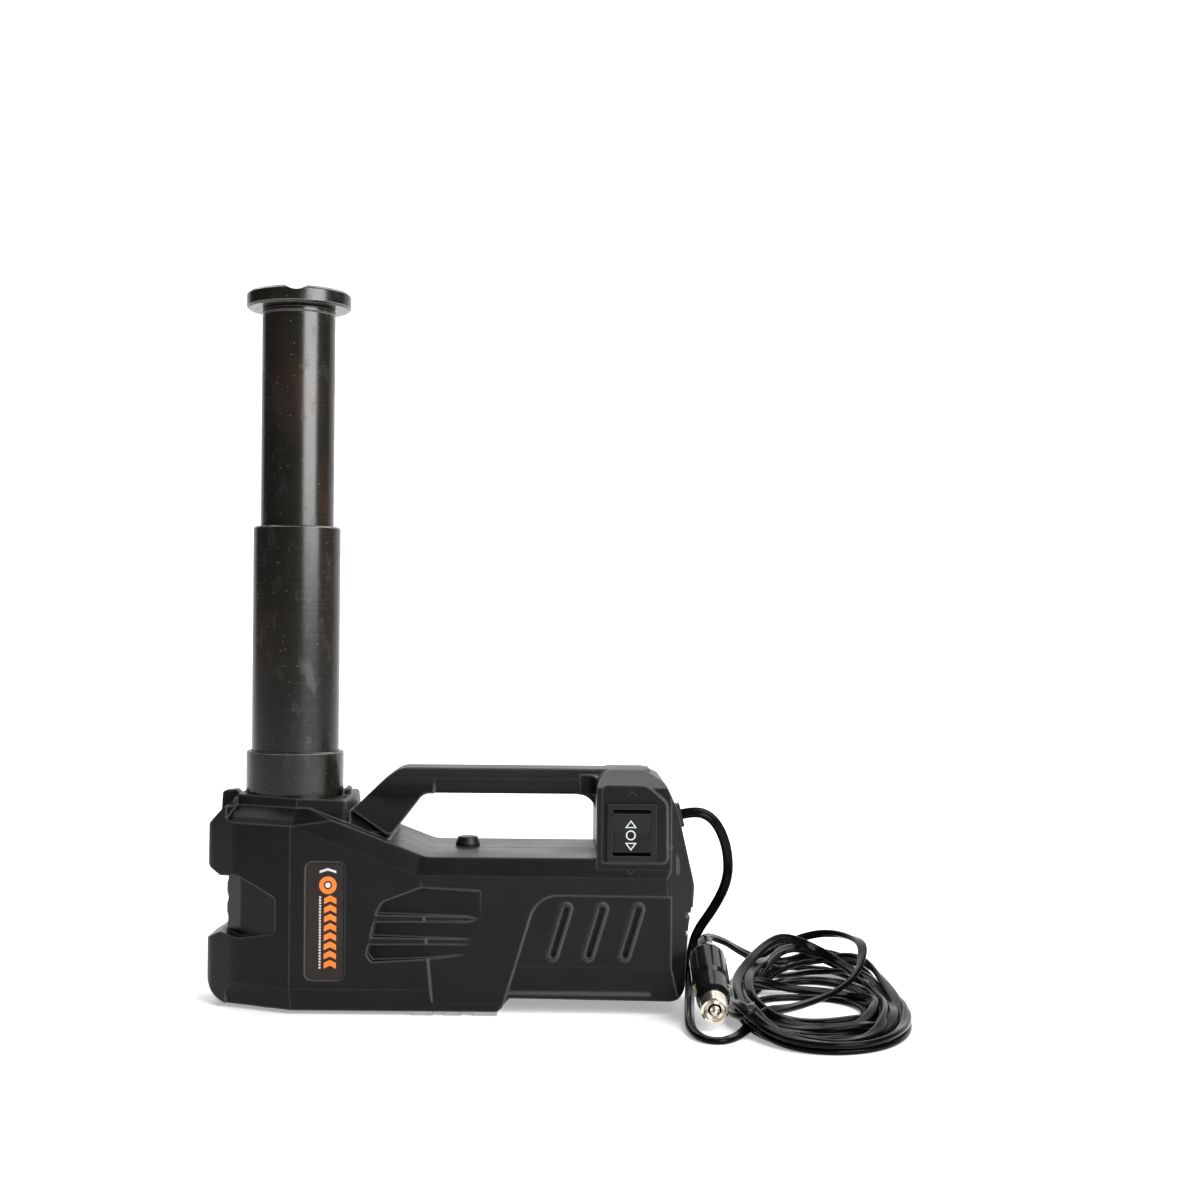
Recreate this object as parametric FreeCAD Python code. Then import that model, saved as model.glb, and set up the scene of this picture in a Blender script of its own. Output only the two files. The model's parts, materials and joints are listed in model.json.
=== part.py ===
import FreeCAD, Part
import math
import os

from FreeCAD import Vector

# Portable 12 V electric hydraulic car jack. Millimetres, +Z up.
# X = 0, Y = 0 is the ram's axis and Z = 0 is the ground. +X runs from the nose to the rear of the
# case, and -Y is the side with the label and the switch.

# ---------------------------------------------------------------- driving dimensions
GROUND = 0.0
CASE_HALF = 48.0          # half width of the case
CASE_BOTTOM = 2.5         # underside of the front of the case
REAR_BOTTOM = 9.0         # underside of the raised rear of the case
NOSE_X = -47.5            # front end of the case
NOSE_TOP_X = -46.3        # the nose leans back a little towards its top
REAR_X = 229.8            # rear end of the case
REAR_WAIST_X = 226.2      # where the rear face is set in at half height
REAR_FOOT_X = 223.8       # and at the bottom
SEAM = 0.0                # the two case halves meet in this plane
SEAM_GROOVE = 0.7         # depth of the groove along that joint

SHOULDER_DROP = 3.5       # how far the top of the shoulder stands in from the side
DECK_Z = 88.4             # floor of the handle opening
TURRET_Z = 120.0          # top of the case around the ram
HANDLE_TOP = 135.5
HANDLE_UNDER = 121.0
HANDLE_HALF = 18.0
OPENING_REAR = 174.0
POD_FACE = 46.5           # half width of the switch pod
POD_PLATEAU = 47.6        # raised face that carries the switch

COLLAR_R = 28.0           # outer cylinder
COLLAR_BORE = 25.6
COLLAR_BOTTOM = 8.0
COLLAR_TOP = 144.0
STAGE_2_R = 25.0
STAGE_2_BORE = 21.6
STAGE_2_TOP = 273.0
STAGE_2_BOTTOM = 127.0
STAGE_3_R = 21.0
STAGE_3_BORE = 16.5
STAGE_3_TOP = 399.0
STAGE_3_BOTTOM = 256.0
SADDLE_R = 30.0
SADDLE_TOP = 408.5
RUNNING = 0.05            # radial clearance of a running fit
CLEAR = 0.3               # clearance between parts that don't touch

SHAFT_Z = 50.0            # height of the motor's and the pump's shaft
ECCENTRIC = 2.0           # throw of the pump's eccentric
ECCENTRIC_R = 9.0         # outer radius of its bearing

SWITCH_X = 193.5
SWITCH_Z = 103.1
PLUG_REAR = Vector(238.8, -10.0, 29.0)    # rear end of the accessory plug's body
PLUG_TIP = Vector(237.0, -86.0, 12.0)     # end of its nose ring
CORD_WIDTH = 6.0

os.makedirs("parts", exist_ok=True)


# ---------------------------------------------------------------- helpers
def outline(points, place):
    """Closed wire through 2-D points; a third number on a point rounds that corner."""
    corners = []
    for index, point in enumerate(points):
        here = Vector(point[0], point[1], 0)
        radius = point[2] if len(point) > 2 else 0
        if radius == 0:
            corners.append((here, here, here))
            continue
        last = points[index - 1]
        following = points[(index + 1) % len(points)]
        back = (Vector(last[0], last[1], 0) - here).normalize()
        ahead = (Vector(following[0], following[1], 0) - here).normalize()
        half = back.getAngle(ahead) / 2
        reach = radius / math.tan(half)
        inward = (back + ahead).normalize()
        middle = here + inward * (radius / math.sin(half) - radius)
        corners.append((here + back * reach, middle, here + ahead * reach))
    edges = []
    for index, (start, middle, end) in enumerate(corners):
        if start.distanceToPoint(end) > 1e-6:
            edges.append(Part.Arc(place(start), place(middle), place(end)).toShape())
        onward = corners[(index + 1) % len(corners)][0]
        if end.distanceToPoint(onward) > 1e-6:
            edges.append(Part.makeLine(place(end), place(onward)))
    return Part.Wire(edges)


def side_prism(points, y0, y1):
    """Prism whose outline is drawn in X and Z."""
    wire = outline(points, lambda p: Vector(p.x, y0, p.y))
    return Part.Face(wire).extrude(Vector(0, y1 - y0, 0))


def plan_prism(points, z0, z1):
    """Prism whose outline is drawn in X and Y."""
    wire = outline(points, lambda p: Vector(p.x, p.y, z0))
    return Part.Face(wire).extrude(Vector(0, 0, z1 - z0))


def end_prism(points, x0, x1):
    """Prism whose outline is drawn in Y and Z."""
    wire = outline(points, lambda p: Vector(x0, p.x, p.y))
    return Part.Face(wire).extrude(Vector(x1 - x0, 0, 0))


def box(x0, x1, y0, y1, z0, z1):
    return Part.makeBox(x1 - x0, y1 - y0, z1 - z0, Vector(x0, y0, z0))


def rod(radius, start, end):
    axis = end - start
    return Part.makeCylinder(radius, axis.Length, start, axis)


def upright(radius, z0, z1, x=0.0, y=0.0):
    return Part.makeCylinder(radius, z1 - z0, Vector(x, y, z0))


def ring(outer, inner, z0, z1):
    return upright(outer, z0, z1).cut(upright(inner, z0 - 1, z1 + 1))


def turned(profile):
    """Solid of revolution about Z from (radius, height) points."""
    wire = outline(profile, lambda p: Vector(p.x, 0, p.y))
    return Part.Face(wire).revolve(Vector(0, 0, 0), Vector(0, 0, 1), 360)


def mirrored(shape):
    return shape.mirror(Vector(0, 0, 0), Vector(0, 1, 0))


def wedge_along(start, end, profile, beyond):
    """Sweeps (outward distance, height) points along a level line between two plan points."""
    run = (Vector(end[0], end[1], 0) - Vector(start[0], start[1], 0)).normalize()
    outward = Vector(run.y, -run.x, 0)
    base = Vector(start[0], start[1], 0) - run * beyond
    wire = outline(profile, lambda p: base + outward * p.x + Vector(0, 0, p.y))
    length = Vector(end[0] - start[0], end[1] - start[1], 0).Length + 2 * beyond
    return Part.Face(wire).extrude(run * length)


def slot_shape(x, z, length, width, angle, y0, y1):
    """Round-ended slot in the side plane, centred on x, z and leaning at an angle from X."""
    half = length / 2 - width / 2
    lean = Vector(math.cos(angle), 0, math.sin(angle))
    low = Vector(x, y0, z) - lean * half
    high = Vector(x, y0, z) + lean * half
    across = Vector(-lean.z, 0, lean.x) * (width / 2)
    sides = [Part.makeLine(low + across, high + across),
             Part.Arc(high + across, high + lean * (width / 2), high - across).toShape(),
             Part.makeLine(high - across, low - across),
             Part.Arc(low - across, low - lean * (width / 2), low + across).toShape()]
    return Part.Face(Part.Wire(sides)).extrude(Vector(0, y1 - y0, 0))


def rounded_path(points):
    """Straight runs joined by tangent arcs as large as the runs allow; returns wire and radii."""
    edges = []
    radii = []
    start = points[0]
    for index in range(1, len(points) - 1):
        here = points[index]
        back = points[index - 1] - here
        ahead = points[index + 1] - here
        reach = 0.45 * min(back.Length, ahead.Length)
        back.normalize()
        ahead.normalize()
        half = back.getAngle(ahead) / 2
        radius = reach * math.tan(half)
        inward = (back + ahead).normalize()
        middle = here + inward * (radius / math.sin(half) - radius)
        edges.append(Part.LineSegment(start, here + back * reach).toShape())
        edges.append(Part.Arc(here + back * reach, middle, here + ahead * reach).toShape())
        start = here + ahead * reach
        radii.append(radius)
    edges.append(Part.LineSegment(start, points[-1]).toShape())
    return Part.Wire(edges), radii


def tube_along(name, points, diameter):
    """Solid round tube along a route, with its bend radii and volume check printed."""
    path, radii = rounded_path(points)
    heading = points[1] - points[0]
    section = Part.Wire(Part.makeCircle(diameter / 2, points[0], heading))
    tube = path.makePipeShell([section], True, True, 2)
    expected = math.pi * diameter ** 2 / 4 * path.Length
    print(name, "length", round(path.Length, 1), "volume ratio", round(tube.Volume / expected, 4))
    print(name, "radii", [round(radius, 1) for radius in radii])
    return tube


def along_plug(shape):
    """Puts a shape drawn along +Z, tip at the top, onto the accessory plug's axis."""
    placed = shape.copy()
    turn = FreeCAD.Rotation(Vector(0, 0, 1), PLUG_TIP - PLUG_REAR)
    placed.Placement = FreeCAD.Placement(PLUG_REAR, turn)
    return placed


def write(name, shape):
    if not shape.isValid():
        print("NOT VALID", name)
    clean = shape.removeSplitter()
    if abs(clean.Volume - shape.Volume) > 1:
        clean = shape
    clean.exportStep("parts/" + name + ".step")
    print(name, "solids", len(clean.Solids), "cm3", round(clean.Volume / 1000, 2))


# ---------------------------------------------------------------- case, outer form
NOSE_CREASE = (4.4, -CASE_HALF)           # where the side starts to turn in towards the nose
NOSE_CORNER = (-30.0, -31.5)
RIDGE_Z = 105.0                           # top edge of the side at the nose
REAR_RIDGE_Z = 77.5                       # and along the rear
RIDGE_FOOT = (74.3, 78.4)                 # where the sloping ridge meets the level one


REAR_BROW = Vector(219.3, 0, 115)         # top of the sloping rear face
REAR_SLOPE = (Vector(REAR_X, 0, 71.5) - REAR_BROW).normalize()
REAR_NORMAL = Vector(-REAR_SLOPE.z, 0, REAR_SLOPE.x)
CORD_FACE = REAR_BROW + REAR_SLOPE * 7.4  # where the cord leaves the case


def half_plan(z0, z1):
    """Plan form of the case's -Y half: tapered round nose and cut rear corner."""
    points = [(NOSE_X, 0), (NOSE_X, -17, 12), (NOSE_CORNER[0], NOSE_CORNER[1], 12), NOSE_CREASE,
              (214, -CASE_HALF, 4), (REAR_X, -33, 7), (REAR_X, 0)]
    return plan_prism(points, z0, z1)


def half_body():
    """Lower case up to the floor of the handle opening and the ledge at the turret's foot."""
    points = [(NOSE_X, CASE_BOTTOM, 15), (119.7, CASE_BOTTOM, 1.5), (126.5, REAR_BOTTOM + 0.6, 1),
              (REAR_FOOT_X, REAR_BOTTOM - 0.6, 9), (REAR_WAIST_X, 50, 20), (REAR_X, 71, 3),
              (226, 82), (225, DECK_Z),
              (79.6, DECK_Z, 16), (13, 113.7), (-36, 113.7), (NOSE_TOP_X, 103, 3)]
    return side_prism(points, -CASE_HALF, SEAM)


def shoulder_cut():
    """Removes what lies outside the steep shoulder above the sloping and the level ridge."""
    rise = 10.9
    slope = (RIDGE_Z - RIDGE_FOOT[1]) / (RIDGE_FOOT[0] - NOSE_CREASE[0])
    slope_rise = rise * math.sqrt(1 + slope * slope)

    def line_at(step):
        left = -60
        foot_x = RIDGE_FOOT[0] + step * (slope_rise - rise) / slope
        foot_z = RIDGE_FOOT[1] + step * rise
        left_z = foot_z + slope * (foot_x - left)
        return [Vector(left, 0, left_z), Vector(foot_x, 0, foot_z),
                Vector(240, 0, REAR_RIDGE_Z + step * rise)]

    low = line_at(-1)
    high = line_at(1)
    top = 190
    y_low = -CASE_HALF - SHOULDER_DROP
    y_high = -CASE_HALF + SHOULDER_DROP
    outer = [Vector(p.x, y_low, p.z) for p in low]
    inner = [Vector(p.x, y_high, p.z) for p in high]
    outer += [Vector(240, y_low, top), Vector(-60, y_low, top)]
    inner += [Vector(240, y_high, top), Vector(-60, y_high, top)]
    faces = [Part.Face(Part.makePolygon(outer + outer[:1])),
             Part.Face(Part.makePolygon(inner + inner[:1]))]
    for index in range(len(outer)):
        after = (index + 1) % len(outer)
        corners = [outer[index], outer[after], inner[after], inner[index]]
        for three in (corners[:3], [corners[0], corners[2], corners[3]]):
            faces.append(Part.Face(Part.makePolygon(three + three[:1])))
    tool = Part.makeSolid(Part.makeShell(faces))
    if tool.Volume < 0:
        tool.reverse()
    return tool


LEDGE = [(14, 92), (0, RIDGE_Z), (-SHOULDER_DROP, 108), (-12, 113.8), (-12, 130), (14, 130)]
FOOT_BEVEL = [(6, 37), (0, 15), (-SHOULDER_DROP, CASE_BOTTOM), (-SHOULDER_DROP, -9), (6, -9)]


def half_turret():
    """Raised block around the ram, with a sloping front and a small lip behind the ram."""
    side = [(NOSE_TOP_X, 100), (-29.5, TURRET_Z), (33.5, TURRET_Z - 1.5, 2), (35, 108, 4),
            (39, 104), (39, 95), (NOSE_TOP_X, 95)]
    plan = [(NOSE_TOP_X, 0), (NOSE_TOP_X, -11, 6), (-34, -19.5, 8), (-2, -35.5, 6), (34, -35.5, 4),
            (38, -24, 4), (38, 0)]
    block = side_prism(side, -40, SEAM).common(plan_prism(plan, 90, 130))
    lip = ring(COLLAR_R + 4.8, COLLAR_R + 1.2, 114, 122.6).common(box(29.5, 40, -40, SEAM, 90, 130))
    return block.fuse(lip)


def half_lug():
    """Small rounded lug on the slope in front of the ram."""
    side = [(-42, 101), (-41, 120.4, 2), (-33.2, 121.2, 1.5), (-28, 116.5), (-28, 101)]
    return side_prism(side, -4.5, SEAM)


def half_handle():
    """Front leg that widens towards its foot, and the bar."""
    leg = [(30, 92), (30, 106), (35.5, 111.5), (52.5, 128.2, 9), (62, HANDLE_TOP, 14),
           (82, HANDLE_TOP), (82, HANDLE_UNDER), (76, HANDLE_UNDER, 7), (58.5, 98), (54, 92)]
    leg_width = [(0, 90), (-43, 90), (-40.5, 101), (-16.2, 122.5, 9), (-HANDLE_HALF, 130.5, 2),
                 (-12.5, HANDLE_TOP, 3), (0, HANDLE_TOP)]
    bar = [(70, HANDLE_UNDER), (70, HANDLE_TOP), (205, HANDLE_TOP), (205, HANDLE_UNDER)]
    bar_width = [(0, HANDLE_UNDER), (-15.5, HANDLE_UNDER, 2.5), (-HANDLE_HALF, 130.5, 2),
                 (-12.5, HANDLE_TOP, 3), (0, HANDLE_TOP)]
    leg_solid = side_prism(leg, -43, SEAM).common(end_prism(leg_width, 20, 90))
    below = [(20, 90), (20, 121.3), (38.8, 110.7), (56, 101), (70, 93.1), (70, 90)]
    foot_width = [(y + 3.5, z) for y, z in ((-43, 90), (-40.5, 101), (-16.2, 122.5))]
    sides = side_prism(below, -50, SEAM).cut(end_prism([(1, 80), (-40, 80)] + foot_width + [(1, 125)],
                                                       15, 75))
    leg_solid = leg_solid.cut(sides)
    bar_solid = side_prism(bar, -30, SEAM).common(end_prism(bar_width, 60, 210))
    flare = plan_prism([(OPENING_REAR - 9, -17), (OPENING_REAR - 9, -HANDLE_HALF),
                        (OPENING_REAR + 1, -28), (OPENING_REAR + 1, -17)], HANDLE_UNDER, HANDLE_TOP)
    flare = flare.cut(upright(9, 115, 140, OPENING_REAR - 9, -HANDLE_HALF - 9))
    flare = flare.common(end_prism([(-15, HANDLE_UNDER), (-30, HANDLE_UNDER), (-30, 131), (-15, 133)],
                                   150, 180))
    return leg_solid.fuse(bar_solid).fuse(flare)


def half_pod():
    """Full-width rear leg of the handle, which carries the switch."""
    side = [(OPENING_REAR, 70), (OPENING_REAR, 136, 11), (201, 136, 9), (212.5, 129.8, 7),
            (REAR_BROW.x, REAR_BROW.z, 3), (REAR_X, 71.5), (REAR_X - 1, 60), (OPENING_REAR, 60)]
    width = [(0, 60), (-POD_FACE, 60), (-POD_FACE, 127, 4), (-19, HANDLE_TOP, 8), (0, HANDLE_TOP)]
    corner = box(OPENING_REAR - 10, OPENING_REAR + 2, -16, SEAM, HANDLE_UNDER - 10, HANDLE_UNDER + 2)
    corner = corner.cut(rod(10, Vector(OPENING_REAR - 10, -20, HANDLE_UNDER - 10),
                            Vector(OPENING_REAR - 10, 1, HANDLE_UNDER - 10)))
    return side_prism(side, -CASE_HALF, SEAM).common(end_prism(width, 150, 240)).fuse(corner)


def half_plateau():
    """Raised face around the switch."""
    points = [(176.8, 86.0, 1.5), (176.8, 129.4, 3.5), (202, 129.4, 10), (213.2, 119.5, 6),
              (213.6, 86.0, 3)]
    return side_prism(points, -POD_PLATEAU, -POD_FACE + 2)


def outer_half():
    """Outer form of one case half, with its -Y side out and without the fine features."""
    body = half_body().cut(shoulder_cut())
    body = body.cut(wedge_side(LEDGE, NOSE_CREASE[0] - 6, 26))
    body = body.cut(wedge_side(FOOT_BEVEL, -60, 121))
    upper = half_turret().fuse(half_lug()).fuse(half_handle()).fuse(half_pod())
    whole = body.fuse(upper).common(half_plan(-1, 160))
    for profile in (LEDGE, FOOT_BEVEL):
        whole = whole.cut(nose_wedge(profile))
    return whole.fuse(half_plateau())


def wedge_side(profile, x0, x1):
    """A wedge along the straight side of the -Y half."""
    return end_prism([(-CASE_HALF - out, z) for out, z in profile], x0, x1)


def nose_wedge(profile):
    """The same wedge along the tapered side of the nose."""
    return wedge_along(NOSE_CORNER, NOSE_CREASE, profile, 6)


# ---------------------------------------------------------------- case, fine features
WAIST = [(-60, 86.5), (-48.9, 84.5), (-45.5, 78.3), (-38.5, 74.3), (-27.6, 75.2), (-4.2, 64.4, 3),
         (-4.2, 45, 3), (-26.1, 40.5), (-38.5, 42.4), (-48, 37.2), (-60, 33)]
WAIST_PLAN = [(-4.2, -43.3), (-4.2, 1), (-37.0, 1), (-37.0, -12, 7), (-26.5, -25.5, 8)]
VENT = [(47.3, 34.2), (50.0, 30.4, 2), (83.5, 32.5), (112, 36), (112, 70), (77, 71.5),
        (55.7, 63.3, 2.5), (52.5, 57.5)]
VENT_RIBS = (54.4, 41.9)                  # heights of the ribs across the vent
LABEL = (13.2, 34.9, 20.0, 85.2)          # shallow recess for the label
SLOT_X = (153.8, 173.6, 193.7)            # slots in the rear side panel
REAR_NOTCHES = (56.0, 46.0)               # small vents in the rear corner
SCREWS = [(-33.5, 94), (-33.5, 19), (36, 96), (104, 79.3), (183, 78), (214, 23), (112, 13.5),
          (124, 128.8)]
BOSS_R = 4.2
FILLER = (100.0, 11.0)                    # the oil reservoir's filler in the deck


def half_waist():
    """Hand grip around the nose, with finger flutes at its front."""
    tool = side_prism(WAIST, -60, 1).cut(plan_prism(WAIST_PLAN, 0, 120))
    for z in (48.4, 60.1, 71.8):
        flute = rod(5.6, Vector(-41.2, -40, z), Vector(-41.2, 1, z))
        tool = tool.fuse(flute.common(box(-60, -30, -14, 1, 43, 74)))
    return tool


def half_vent():
    """Side vent that is deep under the cowl's edge and runs out flush towards the rear."""
    depth = [(44, -60), (44, -40.7), (80, -44.8), (110, -47.3), (112, -60)]
    tool = side_prism(VENT, -60, -38).common(plan_prism(depth, 20, 80))
    for z in VENT_RIBS:
        rib = [(44, z - 2.4), (44, z + 2.2), (103, z + 1.4), (109, z), (103, z - 1.6)]
        tool = tool.cut(side_prism(rib, -CASE_HALF + 0.1, -38))
    return tool


def half_rear_panel():
    """Sunk rear side panel with its lower bevel."""
    area = [(141.2, 67.8, 16), (240, 67.2), (240, -5), (119.6, -5)]
    depth = [(-CASE_HALF - 4, 70), (-POD_FACE + 0.4, 70), (-POD_FACE + 0.4, 28),
             (-POD_FACE + 5, REAR_BOTTOM - 1), (-POD_FACE + 5, -6), (-CASE_HALF - 4, -6)]
    return side_prism(area, -60, -30).common(end_prism(depth, 100, 241))


def half_draft():
    """Draft of the side behind the cowl, which leaves the cowl's rear edge standing proud."""
    area = [(76.5, 79), (84.5, -1), (241, -1), (241, 79)]
    depth = [(-CASE_HALF, 77), (-CASE_HALF + 2.4, -1), (-CASE_HALF - 5, -1), (-CASE_HALF - 5, 77)]
    return side_prism(area, -60, -30).common(end_prism(depth, 60, 241))


def slot_pair():
    """Raised frames and slots of the rear side panel."""
    frames = []
    slots = []
    face = -POD_FACE + 0.4
    for x in SLOT_X:
        frames.append(slot_shape(x, 47.6, 33.6, 6.7, math.radians(73.5), face - 0.7, face + 1))
        slots.append(slot_shape(x, 47.6, 29.6, 3.3, math.radians(73.5), face - 2, face + 3))
    return frames, slots


def half_cavity():
    """Hollow inside of the -Y half."""
    low = [(-35, 5.4, 3), (116, 5.4, 2), (123.5, 12.4, 2), (220.8, 12.0, 5), (223.2, 50),
           (226.8, 70), (223.5, 85.2), (79, 85.2, 3), (40, 98.5, 3), (22, 103), (-35, 103, 3)]
    plan = [(-35, 1), (-35, -9, 7), (-23.5, -23, 10), (3, -42.3), (204, -42.3), (226.8, -29, 5),
            (226.8, 1)]
    hollow = side_prism(low, -42.3, 1).common(plan_prism(plan, 0, 130))
    pod = [(178, 80), (178, 123.5, 5), (204, 123.5, 4), (211.5, 117, 3), (219.8, 86), (219.8, 80)]
    hollow = hollow.fuse(side_prism(pod, -42.8, 1))
    bar = box(84, 170, -14.2, 1, 124, 132.3)
    return hollow.fuse(bar)


def vent_backing():
    """Wall that closes the vent's deep end from inside."""
    return box(43, 110, -42.4, -37.6, 27, 73)


def boss(x, z):
    """Screw boss, and the blind bore in it that starts behind the outer wall."""
    post = rod(BOSS_R, Vector(x, -46, z), Vector(x, SEAM, z))
    return post, rod(1.85, Vector(x, screw_seat(x, z) + 2.5, z), Vector(x, 1, z))


def seam_groove(outer):
    """Shallow groove along the joint between the two case halves."""
    section = max(outer.common(box(-60, 260, -1, SEAM, -5, 160)).Faces,
                  key=lambda face: face.Area if abs(face.CenterOfMass.y) < 0.01 else 0)
    rim = section.extrude(Vector(0, -SEAM_GROOVE / 2, 0))
    inner = section.makeOffset2D(-SEAM_GROOVE, 2)
    return rim.cut(inner.extrude(Vector(0, -SEAM_GROOVE / 2, 0)))


def case_half(front):
    """One case half, modelled on the -Y side; the rear one is mirrored at the end."""
    outer = outer_half().cut(half_draft()).cut(half_rear_panel())
    shell = outer.cut(half_cavity())
    for x, z in SCREWS:
        shell = shell.fuse(boss(x, z)[0].common(outer))
    shell = shell.fuse(vent_backing().common(outer))
    shell = shell.cut(half_vent()).cut(half_waist())
    frames, slots = slot_pair()
    for frame in frames:
        shell = shell.fuse(frame)
    for slot in slots:
        shell = shell.cut(slot)
    if front:
        for x, z in SCREWS:
            shell = shell.cut(boss(x, z)[1])
        x0, x1, z0, z1 = LABEL
        label = [(x0, z0, 4), (x1, z0, 4), (x1, z1, 4), (x0, z1, 4)]
        shell = shell.cut(side_prism(label, -60, -CASE_HALF + 0.6))
        shell = shell.cut(switch_cutout())
    else:
        for x, z in SCREWS:
            shell = shell.cut(rod(2.2, Vector(x, -60, z), Vector(x, 1, z)))
            shell = shell.cut(rod(4.0, Vector(x, -60, z), Vector(x, screw_seat(x, z), z)))
    shell = shell.cut(upright(COLLAR_R + CLEAR, 90, 130))
    shell = shell.cut(box(214.2, 240, -60, -POD_FACE + 0.6, 94.4, 95.4))
    for z in REAR_NOTCHES:
        shell = shell.cut(box(224.6, 240, -40, -16, z - 1.1, z + 1.1))
    shell = shell.cut(seam_groove(outer))
    shell = shell.cut(block_plan(0.6, -1, 30))
    shell = shell.cut(cord_hole())
    if front:
        return shell
    return mirrored(shell).cut(upright(5.4, 80, 95, FILLER[0], FILLER[1]))


def screw_seat(x, z):
    """Y of the face under a screw head, on the -Y side before mirroring."""
    if z > 120:
        return -12.0
    if x < -20:
        return -20.0
    return -38.0


def case_screws():
    """Self-tapping screws that enter from the +Y side."""
    screws = []
    for x, z in SCREWS:
        seat = -screw_seat(x, z)
        reach = min(9.0, 0.7 * seat)
        head = [(0, 0), (3.6, 0), (3.6, 1.6, 0.5), (2.4, 2.6), (0, 2.6)]
        screw = turned(head)
        recess = Part.makeBox(3.6, 0.8, 1.6, Vector(-1.8, -0.4, 1.3))
        screw = screw.cut(recess)
        recess = Part.makeBox(0.8, 3.6, 1.6, Vector(-0.4, -1.8, 1.3))
        screw = screw.cut(recess)
        screw = screw.fuse(upright(1.75, -seat - reach, 0))
        screw.Placement = FreeCAD.Placement(Vector(x, seat, z),
                                            FreeCAD.Rotation(Vector(0, 0, 1), Vector(0, 1, 0)))
        screws.append(screw)
    return Part.makeCompound(screws)


def label_plate():
    x0, x1, z0, z1 = LABEL
    edge = 0.8
    points = [(x0 + edge, z0 + edge, 3.5), (x1 - edge, z0 + edge, 3.5),
              (x1 - edge, z1 - edge, 3.5), (x0 + edge, z1 - edge, 3.5)]
    return side_prism(points, -CASE_HALF + 0.2, -CASE_HALF + 0.6)


# ---------------------------------------------------------------- base and hydraulics
BASE_SCREWS = [(-14, -17), (-14, 17), (56, -20), (56, 20)]
BLOCK_TOP = 16.0
PUMP_X = (42.0, 66.0)


def block_plan(grow, z0, z1):
    """The base block's tapered outline, grown all round."""
    half = 29.5 + grow
    points = [(-30.3 - grow, -9), (-22 - grow * 0.7, -20 - grow), (-10, -half), (67 + grow, -half),
              (67 + grow, half), (-10, half), (-22 - grow * 0.7, 20 + grow), (-30.3 - grow, 9)]
    return plan_prism(points, z0, z1)


def base_plate():
    """Steel sole plate with three tabs on each side that reach under the case's edge."""
    points = [(-27, -14, 4), (-12, -27, 4), (121.5, -27, 3), (121.5, 27, 3), (-12, 27, 4),
              (-27, 14, 4)]
    plate = plan_prism(points, GROUND, CASE_BOTTOM)
    for x0, x1 in ((72.4, 83.8), (90.6, 99.4), (106.3, 119.6)):
        plate = plate.fuse(box(x0, x1, -43.5, 43.5, GROUND, CASE_BOTTOM))
    for x, y in BASE_SCREWS:
        plate = plate.cut(upright(2.7, -1, 3, x, y)).cut(upright(4.7, -1, 1.4, x, y))
    return plate


def screw_hole_top(x):
    """The two front holes end below the outer cylinder's seat."""
    return 7.5 if x < 0 else 12.5


def base_screws():
    screws = []
    for x, y in BASE_SCREWS:
        head = upright(4.5, 0.3, 1.4, x, y)
        head = head.cut(Part.makeCylinder(1.6, 0.8, Vector(x, y, 0.2)))
        screws.append(head.fuse(upright(2.5, 1.3, screw_hole_top(x) - 0.4, x, y)))
    return Part.makeCompound(screws)


def base_block():
    """Cast block that seats the outer cylinder and carries the pump."""
    block = block_plan(0, CASE_BOTTOM, BLOCK_TOP)
    seat = upright(COLLAR_R + 1.4, CASE_BOTTOM, 24).common(block_plan(0, CASE_BOTTOM, 30))
    block = block.fuse(seat)
    block = block.cut(upright(COLLAR_R + 0.1, COLLAR_BOTTOM, 40))
    for x, y in BASE_SCREWS:
        block = block.cut(upright(2.6, 0, screw_hole_top(x), x, y))
    block = block.cut(rod(2.0, Vector(26, 0, 12), Vector(52, 0, 12)))
    return block.cut(upright(2.0, 12, 17, 54 - 4, 0))


def outer_cylinder():
    profile = [(COLLAR_BORE, COLLAR_BOTTOM), (COLLAR_R, COLLAR_BOTTOM),
               (COLLAR_R, COLLAR_TOP - 0.9), (COLLAR_R - 0.9, COLLAR_TOP),
               (COLLAR_BORE, COLLAR_TOP)]
    return turned(profile)


def cylinder_gland():
    """Ring screwed into the outer cylinder that guides the second stage."""
    return ring(COLLAR_BORE - 0.1, STAGE_2_R + RUNNING, COLLAR_TOP - 7, COLLAR_TOP - 0.8)


def stage(outer, bore, bottom, top, ring_z):
    """Ram tube with a groove for its guide ring and a bevelled top edge."""
    profile = [(bore, bottom), (outer - 0.6, bottom), (outer, bottom + 0.6), (outer, ring_z),
               (outer - 1.2, ring_z), (outer - 1.2, ring_z + 5), (outer, ring_z + 5),
               (outer, top - 0.8), (outer - 0.8, top), (bore, top)]
    return turned(profile)


def stage_3_tube():
    tube = stage(STAGE_3_R, STAGE_3_BORE, STAGE_3_BOTTOM, STAGE_3_TOP, STAGE_3_BOTTOM + 2)
    groove = turned([(STAGE_3_R - 0.8, 395.6), (STAGE_3_R + 1, 396.7), (STAGE_3_R + 1, 394.5)])
    return tube.cut(groove)


def guide_ring(inner, outer, z):
    return ring(outer, inner, z + 0.1, z + 4.9)


def stage_3_plug():
    """Closes the top of the third stage and takes the saddle's spigot."""
    return ring(STAGE_3_BORE - 0.05, 9.0 + RUNNING, 385, STAGE_3_TOP - 0.2)


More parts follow.
